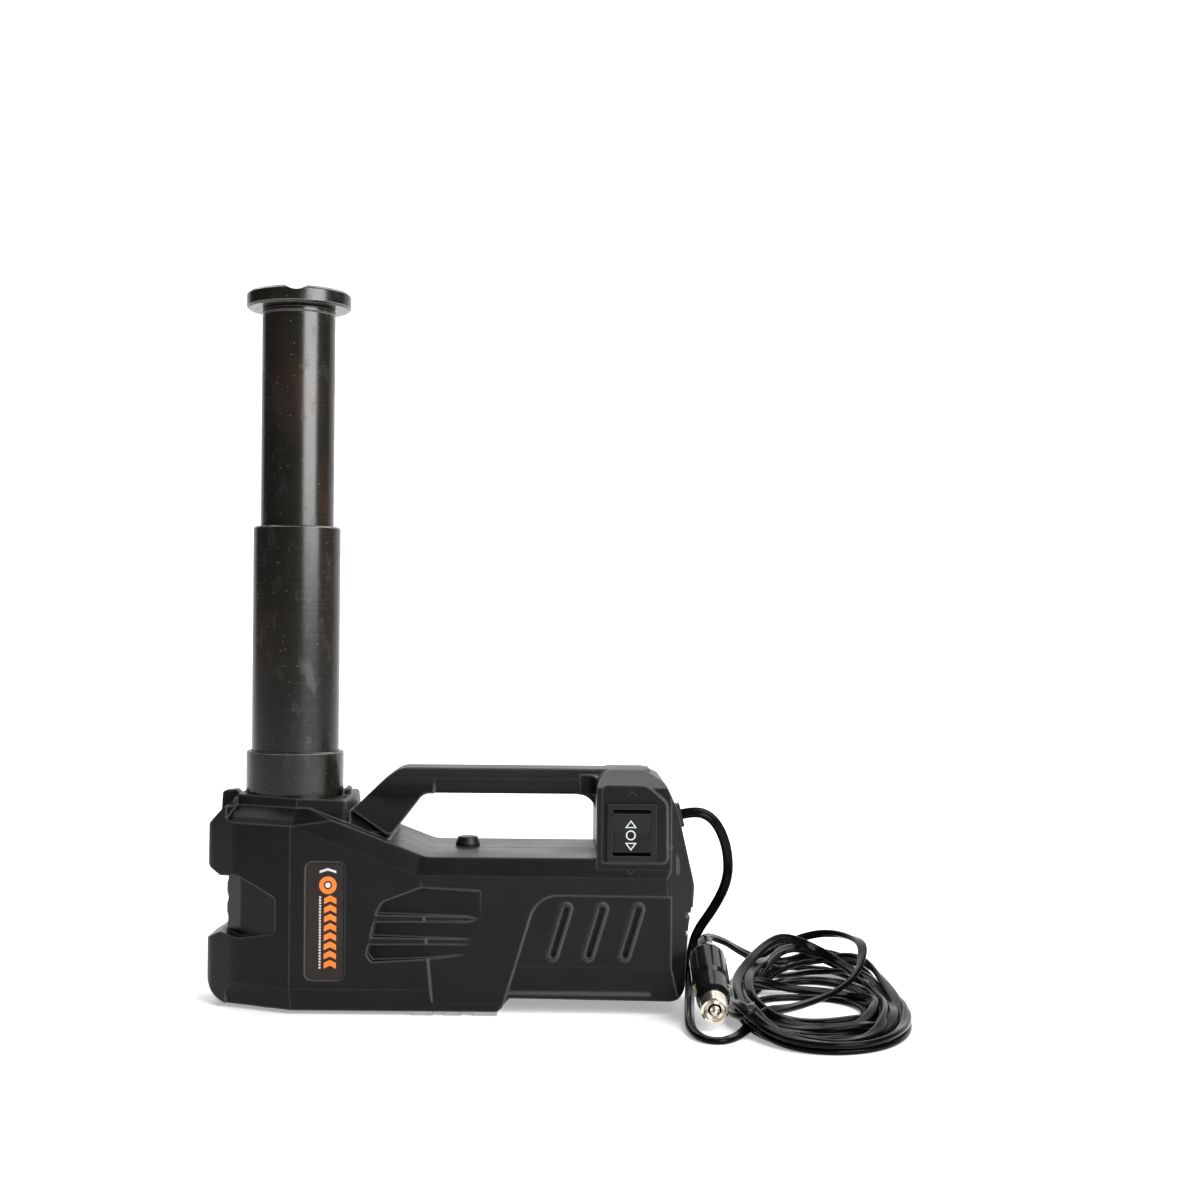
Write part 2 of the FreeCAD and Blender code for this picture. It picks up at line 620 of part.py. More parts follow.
def saddle():
    """Turning saddle with crossed grip grooves and a spigot."""
    profile = [(0, 381), (8.4, 381), (9, 381.6), (9, 383.1), (7.5, 383.1), (7.5, 384.9),
               (9, 384.9), (9, STAGE_3_TOP), (SADDLE_R - 1.2, STAGE_3_TOP),
               (SADDLE_R, STAGE_3_TOP + 1.2), (SADDLE_R, SADDLE_TOP - 1.6, 0.8),
               (SADDLE_R - 1.8, SADDLE_TOP), (0, SADDLE_TOP)]
    body = turned(profile)
    for lean in (4.6, 94.6):
        along = Vector(math.sin(math.radians(lean)), -math.cos(math.radians(lean)), 0)
        centre = Vector(0, 0, SADDLE_TOP + 6.2)
        body = body.cut(rod(8.8, centre - along * 40, centre + along * 40))
    return body.cut(rod(3.2, Vector(0, 0, 400), Vector(0, 0, 410)))


def saddle_clip():
    clip = ring(11.5, 7.7, 383.2, 384.7)
    return clip.cut(box(6, 13, -2.2, 2.2, 380, 390))


def pump_body():
    """Pump block with a chamber for the eccentric above the plunger's bore."""
    x0, x1 = PUMP_X
    body = box(x0, x1, -20, 20, BLOCK_TOP, 68)
    body = body.cut(box(x0 + 4, x1 - 4, -14, 14, 28, 80))
    body = body.cut(upright(6 + RUNNING, 18, 30, 54, 0))
    body = body.cut(upright(2.0, 15, 19, 50, 0))
    body = body.cut(rod(4 + RUNNING, Vector(x0 - 1, 0, SHAFT_Z), Vector(x0 + 6, 0, SHAFT_Z)))
    body = body.cut(rod(6, Vector(x1 - 6, 0, SHAFT_Z), Vector(x1 + 1, 0, SHAFT_Z)))
    body = body.cut(rod(3.0 + RUNNING, Vector(48, -21, 22), Vector(48, -9, 22)))
    return body.cut(upright(2.6, 60, 69, 45, 17))


def plunger():
    low = SHAFT_Z - ECCENTRIC - ECCENTRIC_R - CLEAR
    return upright(6, 22.5, low - 2, 54, 0).fuse(upright(7.5, low - 2.2, low, 54, 0))


def plunger_spring():
    low = SHAFT_Z - ECCENTRIC - ECCENTRIC_R - CLEAR
    wire_r = 0.65
    height = low - 2.2 - 28 - 2 * wire_r - 0.4
    helix = Part.makeHelix(height / 3, height, 6.95)
    helix.translate(Vector(54, 0, 28 + wire_r + 0.2))
    start = helix.Vertexes[0].Point
    section = Part.Wire(Part.makeCircle(wire_r, start, Vector(0, 1, 0)))
    return Part.Wire(helix.Edges).makePipeShell([section], True, True)


def release_valve():
    """Threaded spindle in the pump's side with a slotted head."""
    spindle = rod(3.0, Vector(48, -10, 22), Vector(48, -20.3, 22))
    head = rod(5.0, Vector(48, -20.3, 22), Vector(48, -25, 22))
    slot = box(42, 54, -26, -23.6, 21.4, 22.6)
    return spindle.fuse(head).cut(slot)


def drive_shaft():
    """Gearbox output shaft with the eccentric journal turned on it."""
    shaft = rod(4, Vector(42.5, 0, SHAFT_Z), Vector(78, 0, SHAFT_Z))
    journal_z = SHAFT_Z - ECCENTRIC
    return shaft.fuse(rod(6.2, Vector(49.5, 0, journal_z), Vector(58.5, 0, journal_z)))


def eccentric_bearing():
    journal_z = SHAFT_Z - ECCENTRIC
    outer = rod(ECCENTRIC_R, Vector(50, 0, journal_z), Vector(58, 0, journal_z))
    return outer.cut(rod(6.25, Vector(49, 0, journal_z), Vector(59, 0, journal_z)))


def gearbox():
    """Round planetary gearbox with a flange against the pump."""
    x1 = PUMP_X[1]
    case = rod(18.5, Vector(x1, 0, SHAFT_Z), Vector(92, 0, SHAFT_Z))
    flange = box(x1, x1 + 4, -19.5, 19.5, SHAFT_Z - 19, SHAFT_Z + 18)
    grip = []
    for step in range(12):
        angle = math.radians(30 * step)
        y = 19.6 * math.cos(angle)
        z = SHAFT_Z + 19.6 * math.sin(angle)
        grip.append(rod(1.8, Vector(x1 + 7, y, z), Vector(88, y, z)))
    case = case.cut(Part.makeCompound(grip)).fuse(flange)
    return case.cut(rod(4 + RUNNING, Vector(x1 - 1, 0, SHAFT_Z), Vector(80, 0, SHAFT_Z)))


def motor_can():
    """Drawn steel motor can with two flats and vent windows."""
    can = rod(19.5, Vector(92, 0, SHAFT_Z), Vector(154, 0, SHAFT_Z))
    can = can.cut(box(90, 160, 17, 30, 20, 80)).cut(box(90, 160, -30, -17, 20, 80))
    can = can.cut(rod(15.5, Vector(95, 0, SHAFT_Z), Vector(155, 0, SHAFT_Z)))
    for z in (SHAFT_Z - 5, SHAFT_Z + 5):
        can = can.cut(box(140, 148, -30, 30, z - 2.2, z + 2.2))
    return can


def motor_end_cap():
    """Plastic end cap with the brush holders and the rear bearing boss."""
    cap = rod(15.3, Vector(151, 0, SHAFT_Z), Vector(154, 0, SHAFT_Z))
    cap = cap.fuse(rod(16.8, Vector(154, 0, SHAFT_Z), Vector(158, 0, SHAFT_Z)))
    cap = cap.fuse(rod(6.5, Vector(158, 0, SHAFT_Z), Vector(162, 0, SHAFT_Z)))
    for z in (SHAFT_Z - 10.5, SHAFT_Z + 10.5):
        cap = cap.fuse(box(158, 163, -3.2, 3.2, z - 0.5, z + 0.5))
    return cap


def oil_reservoir():
    """Flat tank under the deck with a filler neck and a suction spout."""
    points = [(72, -38, 6), (96, -38), (112, -38), (166, -38, 6), (166, 38, 6), (72, 38, 6)]
    tank = plan_prism(points, 73.5, 84.9)
    hollow = [(74, -36, 4), (164, -36, 4), (164, 36, 4), (74, 36, 4)]
    tank = tank.cut(plan_prism(hollow, 75.5, 82.9))
    x, y = FILLER
    tank = tank.fuse(upright(5.1, 84.5, DECK_Z - 0.2, x, y))
    tank = tank.cut(upright(3.9, 80, 90, x, y))
    for screw_x, screw_z in SCREWS[3:4]:
        tank = tank.cut(box(screw_x - 5.2, screw_x + 5.2, -50, 50, screw_z - 5, 90))
        web = box(screw_x - 5.2, screw_x + 5.2, -36.5, 36.5, 73.5, 74.1)
        tank = tank.fuse(web)
    return tank


def filler_plug():
    """Rubber plug pushed into the reservoir's filler neck."""
    x, y = FILLER
    stem = turned([(0, 81), (2.6, 81), (3.6, 82.4), (3.6, DECK_Z + 0.1), (0, DECK_Z + 0.1)])
    cap = turned([(0, DECK_Z + 0.1), (7.1, DECK_Z + 0.1), (7.1, DECK_Z + 1.2, 0.4),
                  (5.7, DECK_Z + 5.2, 1), (0, DECK_Z + 5.2)])
    plug = stem.fuse(cap)
    plug.translate(Vector(x, y, 0))
    return plug


# ---------------------------------------------------------------- switch and wiring
BEZEL = (27.1, 31.9)
HINGE_Y = -43.4
ROCKER_R = 12.4


def switch_box(width, height, y0, y1):
    return box(SWITCH_X - width / 2, SWITCH_X + width / 2, y0, y1,
               SWITCH_Z - height / 2, SWITCH_Z + height / 2)


def switch_cutout():
    return switch_box(24.6, 29.4, -60, -40)


def switch_frame():
    """Snap-in rocker frame and switch box."""
    half_w = BEZEL[0] / 2
    half_h = BEZEL[1] / 2
    points = [(SWITCH_X - half_w, SWITCH_Z - half_h, 1.2), (SWITCH_X + half_w, SWITCH_Z - half_h, 1.2),
              (SWITCH_X + half_w, SWITCH_Z + half_h, 1.2), (SWITCH_X - half_w, SWITCH_Z + half_h, 1.2)]
    frame = side_prism(points, -POD_PLATEAU - 1.9, -POD_PLATEAU)
    frame = frame.fuse(switch_box(24.0, 28.8, -POD_PLATEAU, -26))
    frame = frame.cut(switch_box(21.0, 25.6, -60, -29.5))
    pin = rod(1.5 + RUNNING, Vector(SWITCH_X - 11.6, HINGE_Y, SWITCH_Z),
              Vector(SWITCH_X + 11.6, HINGE_Y, SWITCH_Z))
    return frame.cut(pin)


def switch_rocker():
    """Rocker with a shallow V face, rounded ends about its hinge and two pivot pins."""
    width = 20.4
    x0 = SWITCH_X - width / 2
    roll = rod(ROCKER_R, Vector(x0, HINGE_Y, SWITCH_Z), Vector(x0 + width, HINGE_Y, SWITCH_Z))
    face = [(-41, SWITCH_Z - 14), (-41, SWITCH_Z + 14), (-50.6, SWITCH_Z + 14),
            (-48.7, SWITCH_Z, 6), (-50.6, SWITCH_Z - 14)]
    rocker = roll.common(end_prism(face, x0, x0 + width))
    pin = rod(1.5, Vector(SWITCH_X - 11.3, HINGE_Y, SWITCH_Z),
              Vector(SWITCH_X + 11.3, HINGE_Y, SWITCH_Z))
    return rocker.fuse(pin)


def switch_terminals():
    blades = []
    for column in (-6, 6):
        for row in (-9, 0, 9):
            x = SWITCH_X + column
            z = SWITCH_Z + row
            blade = box(x - 2.4, x + 2.4, -26, -17, z - 0.4, z + 0.4)
            blades.append(blade.cut(rod(0.8, Vector(x, -19.5, z - 2), Vector(x, -19.5, z + 2))))
    return Part.makeCompound(blades)


def control_board():
    board = box(174, 215, 8, 9.6, 29, 60)
    for x, z in ((177, 57), (212, 57), (194.2, 33)):
        board = board.cut(rod(1.6, Vector(x, 0, z), Vector(x, 12, z)))
    return board


def relays():
    blocks = []
    for x in (176, 197):
        block = box(x, x + 15.5, -6.5, 7.9, 30, 49)
        blocks.append(block)
    return Part.makeCompound(blocks)


def lead(name, points, diameter):
    return tube_along(name, [Vector(*point) for point in points], diameter)


def motor_leads():
    """Two leads from the relay board to the motor's terminals."""
    upper = [(163.2, 0, 60.5), (168, 0, 61.5), (173, 2, 66), (180, 6, 66), (184, 10.5, 60),
             (184, 11, 52)]
    lower = [(163.2, 0, 39.5), (167.5, 0.5, 38), (171.5, 3.5, 31), (171.2, 9, 23),
             (176, 13, 19.5), (181, 12, 24), (183, 11, 31)]
    return Part.makeCompound([lead("upper lead", upper, 2.4), lead("lower lead", lower, 2.4)])


# ---------------------------------------------------------------- cord, coil and plug
COIL_OUTER = (287.5, -10.0, 68.5, 132.0, 60.0)   # centre X, Y, half width, half length, corner
COIL_HOLE = (294.0, -4.0, 28.0, 60.0, 26.0)
COIL_HEIGHT = 24.0
TIE_THICK = 1.2
TIE_PLACE = (255.0, -90.0, 81.0)             # a point on the coil and the tie's direction there


def on_rear_face(shape):
    """Puts a shape drawn on the XY plane about the origin onto the sloping rear face."""
    placed = shape.copy()
    turn = FreeCAD.Rotation(REAR_SLOPE, Vector(0, 1, 0), REAR_NORMAL, "ZXY")
    placed.Placement = FreeCAD.Placement(CORD_FACE, turn)
    return placed


def rounded_block(length, width, z0, z1, radius):
    points = [(-length / 2, -width / 2, radius), (length / 2, -width / 2, radius),
              (length / 2, width / 2, radius), (-length / 2, width / 2, radius)]
    return plan_prism(points, z0, z1)


def cord_hole():
    return on_rear_face(rounded_block(9.2, 9.2, -8, 3, 1)).common(box(200, 250, -20, SEAM, 60, 130))


def cord_grommet():
    """Flat flanged grommet in the rear face."""
    grommet = rounded_block(13.5, 13, 0, 3.3, 2).fuse(rounded_block(8.6, 8.6, -4.5, 0, 1))
    return on_rear_face(grommet)


def cord_exit():
    return CORD_FACE + REAR_NORMAL * 3.3


def power_cord():
    """Free cord from the grommet down behind the plug, under it and into the coil."""
    first = cord_exit()
    route = [first, first + REAR_NORMAL * 8.0, Vector(240.6, 0.8, 108.0), Vector(247.0, 2, 100.3),
             Vector(251.8, 4, 87.0), Vector(252.6, 8, 70.0), Vector(245.6, 16, 52.5),
             Vector(234.4, 27.5, 34.0), Vector(231.8, 23, 17.0), Vector(230.6, 7, 6.8),
             Vector(228.6, -16, 3.3), Vector(226.6, -40, 3.2), Vector(226.6, -62, 3.4)]
    return tube_along("power_cord", route, CORD_WIDTH)


def oval(size, grow, z0, z1):
    """Upright prism with a long rounded outline; the long axis is Y."""
    x, y, half_x, half_y, corner = size
    half_x += grow
    half_y += grow
    corner += grow
    points = [(x - half_x, y - half_y, corner), (x + half_x, y - half_y, corner),
              (x + half_x, y + half_y, corner), (x - half_x, y + half_y, corner)]
    return plan_prism(points, z0, z1)


def plug_room():
    """Room for the accessory plug that lies in the hank, open towards the top."""
    return along_plug(Part.makeBox(23.4, 60, 118, Vector(-11.7, -11.7, -30)))


def hank(grow):
    """Oval ring with bevelled top edges, grown outwards and upwards."""
    top = COIL_HEIGHT + grow
    shape = oval(COIL_OUTER, grow, GROUND, top).cut(oval(COIL_HOLE, -grow, -1, 40))
    edges = [edge for edge in shape.Edges if edge.BoundBox.ZMin > top - 0.1]
    return shape.makeChamfer(6 + grow, edges)


def cord_tie():
    """Band around the hank."""
    x, y, angle = TIE_PLACE
    slab = Part.makeBox(100, 3.5, 60, Vector(-50, -1.75, -5))
    slab.rotate(Vector(0, 0, 0), Vector(0, 0, 1), angle)
    slab.translate(Vector(x, y, 0))
    slab = slab.common(box(200, 290, -150, -50, -5, 50))
    inside = hank(0).common(box(200, 400, -200, 200, GROUND + TIE_THICK, 60))
    return hank(TIE_THICK).common(slab).cut(inside)


def cord_coil():
    """Outer shape of the loose oval hank, with room for the plug that lies on it."""
    coil = hank(0).cut(plug_room())
    coil = coil.cut(box(200, 236.5, -60, 130, -1, 50))
    return coil.cut(cord_tie())


def cord_tail():
    """Free cord from the coil up to the rear end of the plug."""
    back = (PLUG_REAR - PLUG_TIP).normalize()
    first = PLUG_REAR + back * 18.0
    route = [first, first + back * 12, Vector(249.0, 31.5, 34), Vector(258.5, 44.5, 27.5),
             Vector(267, 57, 19)]
    return tube_along("cord_tail", route, CORD_WIDTH)


def plug_body():
    """Ribbed plug body with a tapered strain relief and windows for the side contacts."""
    profile = [(0, -18), (4.2, -18), (5.4, -2), (7.2, -2), (8.6, 3, 2), (10.4, 9, 3), (10.4, 38),
               (9.2, 42), (9.2, 60, 1), (7.0, 64.5), (0, 64.5)]
    body = turned(profile)
    for step in range(10):
        flute = Part.makeBox(2.6, 2.4, 31.5, Vector(9.4, -1.2, 6.5))
        flute.rotate(Vector(0, 0, 0), Vector(0, 0, 1), 36 * step + 18)
        body = body.cut(flute)
    body = body.cut(upright(3.3, 20, 70))
    for side in (1, -1):
        x0, x1 = sorted((side * 6.0, side * 12))
        body = body.cut(box(x0, x1, -2.7, 2.7, 40, 58))
    for z in (-14.5, -11, -7.5):
        body = body.cut(ring(7, 4.35, z, z + 1.2))
    return along_plug(body)


def plug_nose_ring():
    profile = [(3.6, 64.7), (7.3, 64.7), (7.5, 66, 0.6), (7.5, 75.4, 0.7), (6.1, 76), (5.2, 74.6),
               (3.6, 74)]
    return along_plug(turned(profile))


def plug_tip_contact():
    """Sprung centre contact; it slides along the plug's axis."""
    profile = [(0, 60), (3.1, 60), (3.1, 62.5), (2.6, 63), (2.6, 75, 0.5), (1.7, 75.4),
               (1.7, 78.4, 1.1), (0, 79)]
    return along_plug(turned(profile))


def plug_side_contacts():
    """Two sprung earth contacts, bent outwards in the middle."""
    contacts = []
    for side in (1, -1):
        points = [(6.3, 41.5), (7.3, 41.5), (10.4, 48, 1.5), (10.4, 51, 1.5), (7.3, 57), (6.3, 57),
                  (9.4, 50.6, 1), (9.4, 48.4, 1)]
        strip = side_prism([(side * x,) + tuple(rest) for x, *rest in points], -2.1, 2.1)
        contacts.append(strip)
    return along_plug(Part.makeCompound(contacts))


def plug_fuse():
    """Glass tube fuse with two caps inside the plug."""
    return along_plug(turned([(0, 22), (3.1, 22), (3.1, 28), (2.6, 28.3), (2.6, 46.7), (3.1, 47),
                              (3.1, 53), (0, 53)]))


# ---------------------------------------------------------------- all parts
PARTS = {
    "front_housing": lambda: case_half(True),
    "rear_housing": lambda: case_half(False),
    "housing_screws": case_screws,
    "label_plate": label_plate,
    "base_plate": base_plate,
    "base_screws": base_screws,
    "base_block": base_block,
    "outer_cylinder": outer_cylinder,
    "cylinder_gland": cylinder_gland,
    "stage_2_tube": lambda: stage(STAGE_2_R, STAGE_2_BORE, STAGE_2_BOTTOM, STAGE_2_TOP,
                                  STAGE_2_BOTTOM + 2),
    "stage_2_guide_ring": lambda: guide_ring(STAGE_2_R - 1.1, COLLAR_BORE - RUNNING,
                                             STAGE_2_BOTTOM + 2),
    "stage_2_gland": lambda: ring(STAGE_2_BORE - 0.1, STAGE_3_R + RUNNING, STAGE_2_TOP - 7,
                                  STAGE_2_TOP - 0.6),
    "stage_3_tube": stage_3_tube,
    "stage_3_guide_ring": lambda: guide_ring(STAGE_3_R - 1.1, STAGE_2_BORE - RUNNING,
                                             STAGE_3_BOTTOM + 2),
    "stage_3_plug": stage_3_plug,
    "saddle": saddle,
    "saddle_clip": saddle_clip,
    "pump_body": pump_body,
    "pump_plunger": plunger,
    "plunger_spring": plunger_spring,
    "release_valve": release_valve,
    "drive_shaft": drive_shaft,
    "eccentric_bearing": eccentric_bearing,
    "gearbox": gearbox,
    "motor_can": motor_can,
    "motor_end_cap": motor_end_cap,
    "oil_reservoir": oil_reservoir,
    "filler_plug": filler_plug,
    "switch_frame": switch_frame,
    "switch_rocker": switch_rocker,
    "switch_terminals": switch_terminals,
    "control_board": control_board,
    "relays": relays,
    "motor_leads": motor_leads,
    "cord_grommet": cord_grommet,
    "power_cord": power_cord,
    "cord_coil": cord_coil,
    "cord_tie": cord_tie,
    "cord_tail": cord_tail,
    "plug_body": plug_body,
    "plug_nose_ring": plug_nose_ring,
    "plug_tip_contact": plug_tip_contact,
    "plug_side_contacts": plug_side_contacts,
    "plug_fuse": plug_fuse,
}

for part_name, make in PARTS.items():
    write(part_name, make())
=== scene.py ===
"""Portable electric hydraulic car jack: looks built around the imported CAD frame."""
import json
import math
import random

import bmesh
import bpy
import numpy as np
from mathutils import Matrix, Vector
from mathutils.bvhtree import BVHTree


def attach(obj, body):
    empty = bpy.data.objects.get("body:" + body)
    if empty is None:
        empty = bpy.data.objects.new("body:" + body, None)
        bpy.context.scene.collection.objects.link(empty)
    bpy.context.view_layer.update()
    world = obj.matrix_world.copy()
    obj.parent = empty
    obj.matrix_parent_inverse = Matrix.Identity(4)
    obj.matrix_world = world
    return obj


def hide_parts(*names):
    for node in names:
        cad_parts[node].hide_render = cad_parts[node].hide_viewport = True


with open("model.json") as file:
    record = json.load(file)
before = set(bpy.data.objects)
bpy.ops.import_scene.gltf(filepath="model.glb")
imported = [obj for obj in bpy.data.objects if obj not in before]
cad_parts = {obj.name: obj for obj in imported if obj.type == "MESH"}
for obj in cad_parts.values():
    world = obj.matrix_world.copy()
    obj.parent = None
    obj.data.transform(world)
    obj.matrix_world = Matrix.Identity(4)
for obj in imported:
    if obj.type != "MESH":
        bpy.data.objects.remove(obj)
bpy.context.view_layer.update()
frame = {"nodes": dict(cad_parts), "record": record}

MM = 0.001
NODES = frame["nodes"]
scene = bpy.context.scene


# ---------------------------------------------------------------- procedural materials
def new_tree(name):
    """An empty material: the material, its node tree and its shader."""
    mat = bpy.data.materials.new(name)
    mat.use_nodes = True
    tree = mat.node_tree
    return mat, tree, tree.nodes["Principled BSDF"]


def noise(tree, scale, detail, stretch=(1, 1, 1)):
    """Noise in the piece's own coordinates."""
    coords = tree.nodes.new("ShaderNodeTexCoord")
    mapping = tree.nodes.new("ShaderNodeMapping")
    mapping.inputs["Scale"].default_value = stretch
    tree.links.new(coords.outputs["Object"], mapping.inputs["Vector"])
    node = tree.nodes.new("ShaderNodeTexNoise")
    node.inputs["Scale"].default_value = scale
    node.inputs["Detail"].default_value = detail
    tree.links.new(mapping.outputs["Vector"], node.inputs["Vector"])
    return node.outputs["Fac"]


def specks(tree, scale, size):
    """Small round dots where the cells of a pattern have their centres."""
    coords = tree.nodes.new("ShaderNodeTexCoord")
    cells = tree.nodes.new("ShaderNodeTexVoronoi")
    cells.inputs["Scale"].default_value = scale
    tree.links.new(coords.outputs["Object"], cells.inputs["Vector"])
    return spread(tree, cells.outputs["Distance"], size * 0.5, size, 1.0, 0.0)


def spread(tree, source, low, high, a, b):
    """Maps a value from low..high to a..b."""
    node = tree.nodes.new("ShaderNodeMapRange")
    for socket, value in zip(("From Min", "From Max", "To Min", "To Max"), (low, high, a, b)):
        node.inputs[socket].default_value = value
    tree.links.new(source, node.inputs["Value"])
    return node.outputs["Result"]


def calc(tree, operation, a, b):
    """Sum, product or difference; each term may be a number or a node's output."""
    node = tree.nodes.new("ShaderNodeMath")
    node.operation = operation
    for socket, value in zip(node.inputs, (a, b)):
        if isinstance(value, (int, float)):
            socket.default_value = value
        else:
            tree.links.new(value, socket)
    return node.outputs[0]


def mix_colour(tree, factor, a, b):
    """Mixes two colours; each may be a tuple or a node's output."""
    node = tree.nodes.new("ShaderNodeMix")
    node.data_type = "RGBA"
    tree.links.new(factor, node.inputs[0])
    for socket, value in ((node.inputs[6], a), (node.inputs[7], b)):
        if isinstance(value, tuple):
            socket.default_value = (*value, 1)
        else:
            tree.links.new(value, socket)
    return node.outputs[2]


def edge_mask(tree, bevel):
    """One along the edges that the bevel rounds, nought on the flats."""
    geometry = tree.nodes.new("ShaderNodeNewGeometry")
    dot = tree.nodes.new("ShaderNodeVectorMath")
    dot.operation = "DOT_PRODUCT"
    tree.links.new(bevel.outputs[0], dot.inputs[0])
    tree.links.new(geometry.outputs["Normal"], dot.inputs[1])
    return spread(tree, dot.outputs["Value"], 0.997, 0.90, 0.0, 1.0)


def finish_bump(tree, bsdf, height, strength, edge):
    """Bump over softened edges; returns the bevel node."""
    bevel = tree.nodes.new("ShaderNodeBevel")
    bevel.samples = 4
    bevel.inputs["Radius"].default_value = edge
    bump = tree.nodes.new("ShaderNodeBump")
    bump.inputs["Strength"].default_value = strength
    bump.inputs["Distance"].default_value = 0.0002
    tree.links.new(height, bump.inputs["Height"])
    tree.links.new(bevel.outputs[0], bump.inputs["Normal"])
    tree.links.new(bump.outputs[0], bsdf.inputs["Normal"])
    return bevel


def surface(name, base, rough, metal=0.0, tint=0.14, grain=1400, stretch=(1, 1, 1), bump=0.1,
            edge=0.0004, edge_highlight=0.0, edge_highlight_colour=(0.25, 0.25, 0.25), gloss_spread=0.07,
            specular=0.5):
    """Uneven colour and gloss, fine grain, softened edges, and a painted highlight that lightens
    the edges.
    """
    mat, tree, bsdf = new_tree(name)
    fine = noise(tree, grain, 4, stretch)
    patches = noise(tree, 45, 3)
    dark = tuple(v * (1 - tint) for v in base)
    light = tuple(min(1.0, v * (1 + tint)) for v in base)
    colour = mix_colour(tree, spread(tree, patches, 0.35, 0.65, 0, 1), dark, light)
    bevel = finish_bump(tree, bsdf, fine, bump, edge)
    # painted highlight: the edges that the bevel rounds are mixed towards a pale colour, standing
    # in for light caught on rounded edges
    if edge_highlight:
        mask = calc(tree, "MULTIPLY", edge_mask(tree, bevel), edge_highlight)
        colour = mix_colour(tree, mask, colour, edge_highlight_colour)
    tree.links.new(colour, bsdf.inputs["Base Color"])
    fine_gloss = spread(tree, fine, 0.3, 0.7, -0.5 * gloss_spread, 0.5 * gloss_spread)
    wide_gloss = spread(tree, noise(tree, 18, 2), 0.3, 0.7, rough - gloss_spread,
                        rough + gloss_spread)
    gloss = calc(tree, "ADD", fine_gloss, wide_gloss)
    tree.links.new(gloss, bsdf.inputs["Roughness"])
    bsdf.inputs["Metallic"].default_value = metal
    bsdf.inputs["Specular IOR Level"].default_value = specular
    return mat


def ram_steel(name, rough):
    """Oiled black oxide steel: turning lines, rubbed patches, brownish stains, pale specks, and
    painted highlights along its edges.
    """
    mat, tree, bsdf = new_tree(name)
    lines = noise(tree, 60, 4, (0.25, 0.25, 60))
    fine = noise(tree, 1800, 4)
    stain = spread(tree, noise(tree, 22, 5, (1, 1, 0.45)), 0.50, 0.68, 0, 1)
    rubbed = spread(tree, noise(tree, 120, 7, (1, 1, 0.5)), 0.56, 0.70, 0, 1)
    dots = specks(tree, 260, 0.075)
    colour = mix_colour(tree, stain, (0.008, 0.0078, 0.0062), (0.026, 0.016, 0.010))
    colour = mix_colour(tree, calc(tree, "MULTIPLY", rubbed, 0.6), colour, (0.012, 0.011, 0.010))
    colour = mix_colour(tree, calc(tree, "MULTIPLY", dots, 0.8), colour, (0.30, 0.28, 0.24))
    height = calc(tree, "ADD", calc(tree, "MULTIPLY", lines, 0.15),
                  calc(tree, "SUBTRACT", calc(tree, "MULTIPLY", fine, 0.3),
                       calc(tree, "MULTIPLY", dots, 1.2)))
    bevel = finish_bump(tree, bsdf, height, 0.10, 0.0004)
    # painted highlight: the edges that the bevel rounds are mixed towards a pale colour, standing
    # in for the bright rims
    mask = calc(tree, "MULTIPLY", edge_mask(tree, bevel), 0.75)
    colour = mix_colour(tree, mask, colour, (0.55, 0.52, 0.47))
    tree.links.new(colour, bsdf.inputs["Base Color"])
    gloss = calc(tree, "ADD", spread(tree, lines, 0.3, 0.7, rough - 0.04, rough + 0.06),
                 calc(tree, "MULTIPLY", rubbed, 0.13))
    tree.links.new(gloss, bsdf.inputs["Roughness"])
    bsdf.inputs["Specular IOR Level"].default_value = 0.5
    return mat


def glass(name):
    """Clear glass with a slightly uneven surface."""
    mat, tree, bsdf = new_tree(name)
    fine = noise(tree, 300, 2)
    finish_bump(tree, bsdf, fine, 0.03, 0.0002)
    tree.links.new(spread(tree, fine, 0.3, 0.7, 0.02, 0.06), bsdf.inputs["Roughness"])
    bsdf.inputs["Base Color"].default_value = (0.86, 0.9, 0.88, 1)
    bsdf.inputs["Transmission Weight"].default_value = 0.9
    return mat


def lit_paper(name):
    """White paper that is a little luminous, so that it stays white under soft light."""
    mat = surface(name, (0.90, 0.90, 0.90), 0.9, tint=0.01, grain=300, bump=0.01)
    bsdf = mat.node_tree.nodes["Principled BSDF"]
    bsdf.inputs["Emission Color"].default_value = (1, 1, 1, 1)
    bsdf.inputs["Emission Strength"].default_value = 0.36
    return mat


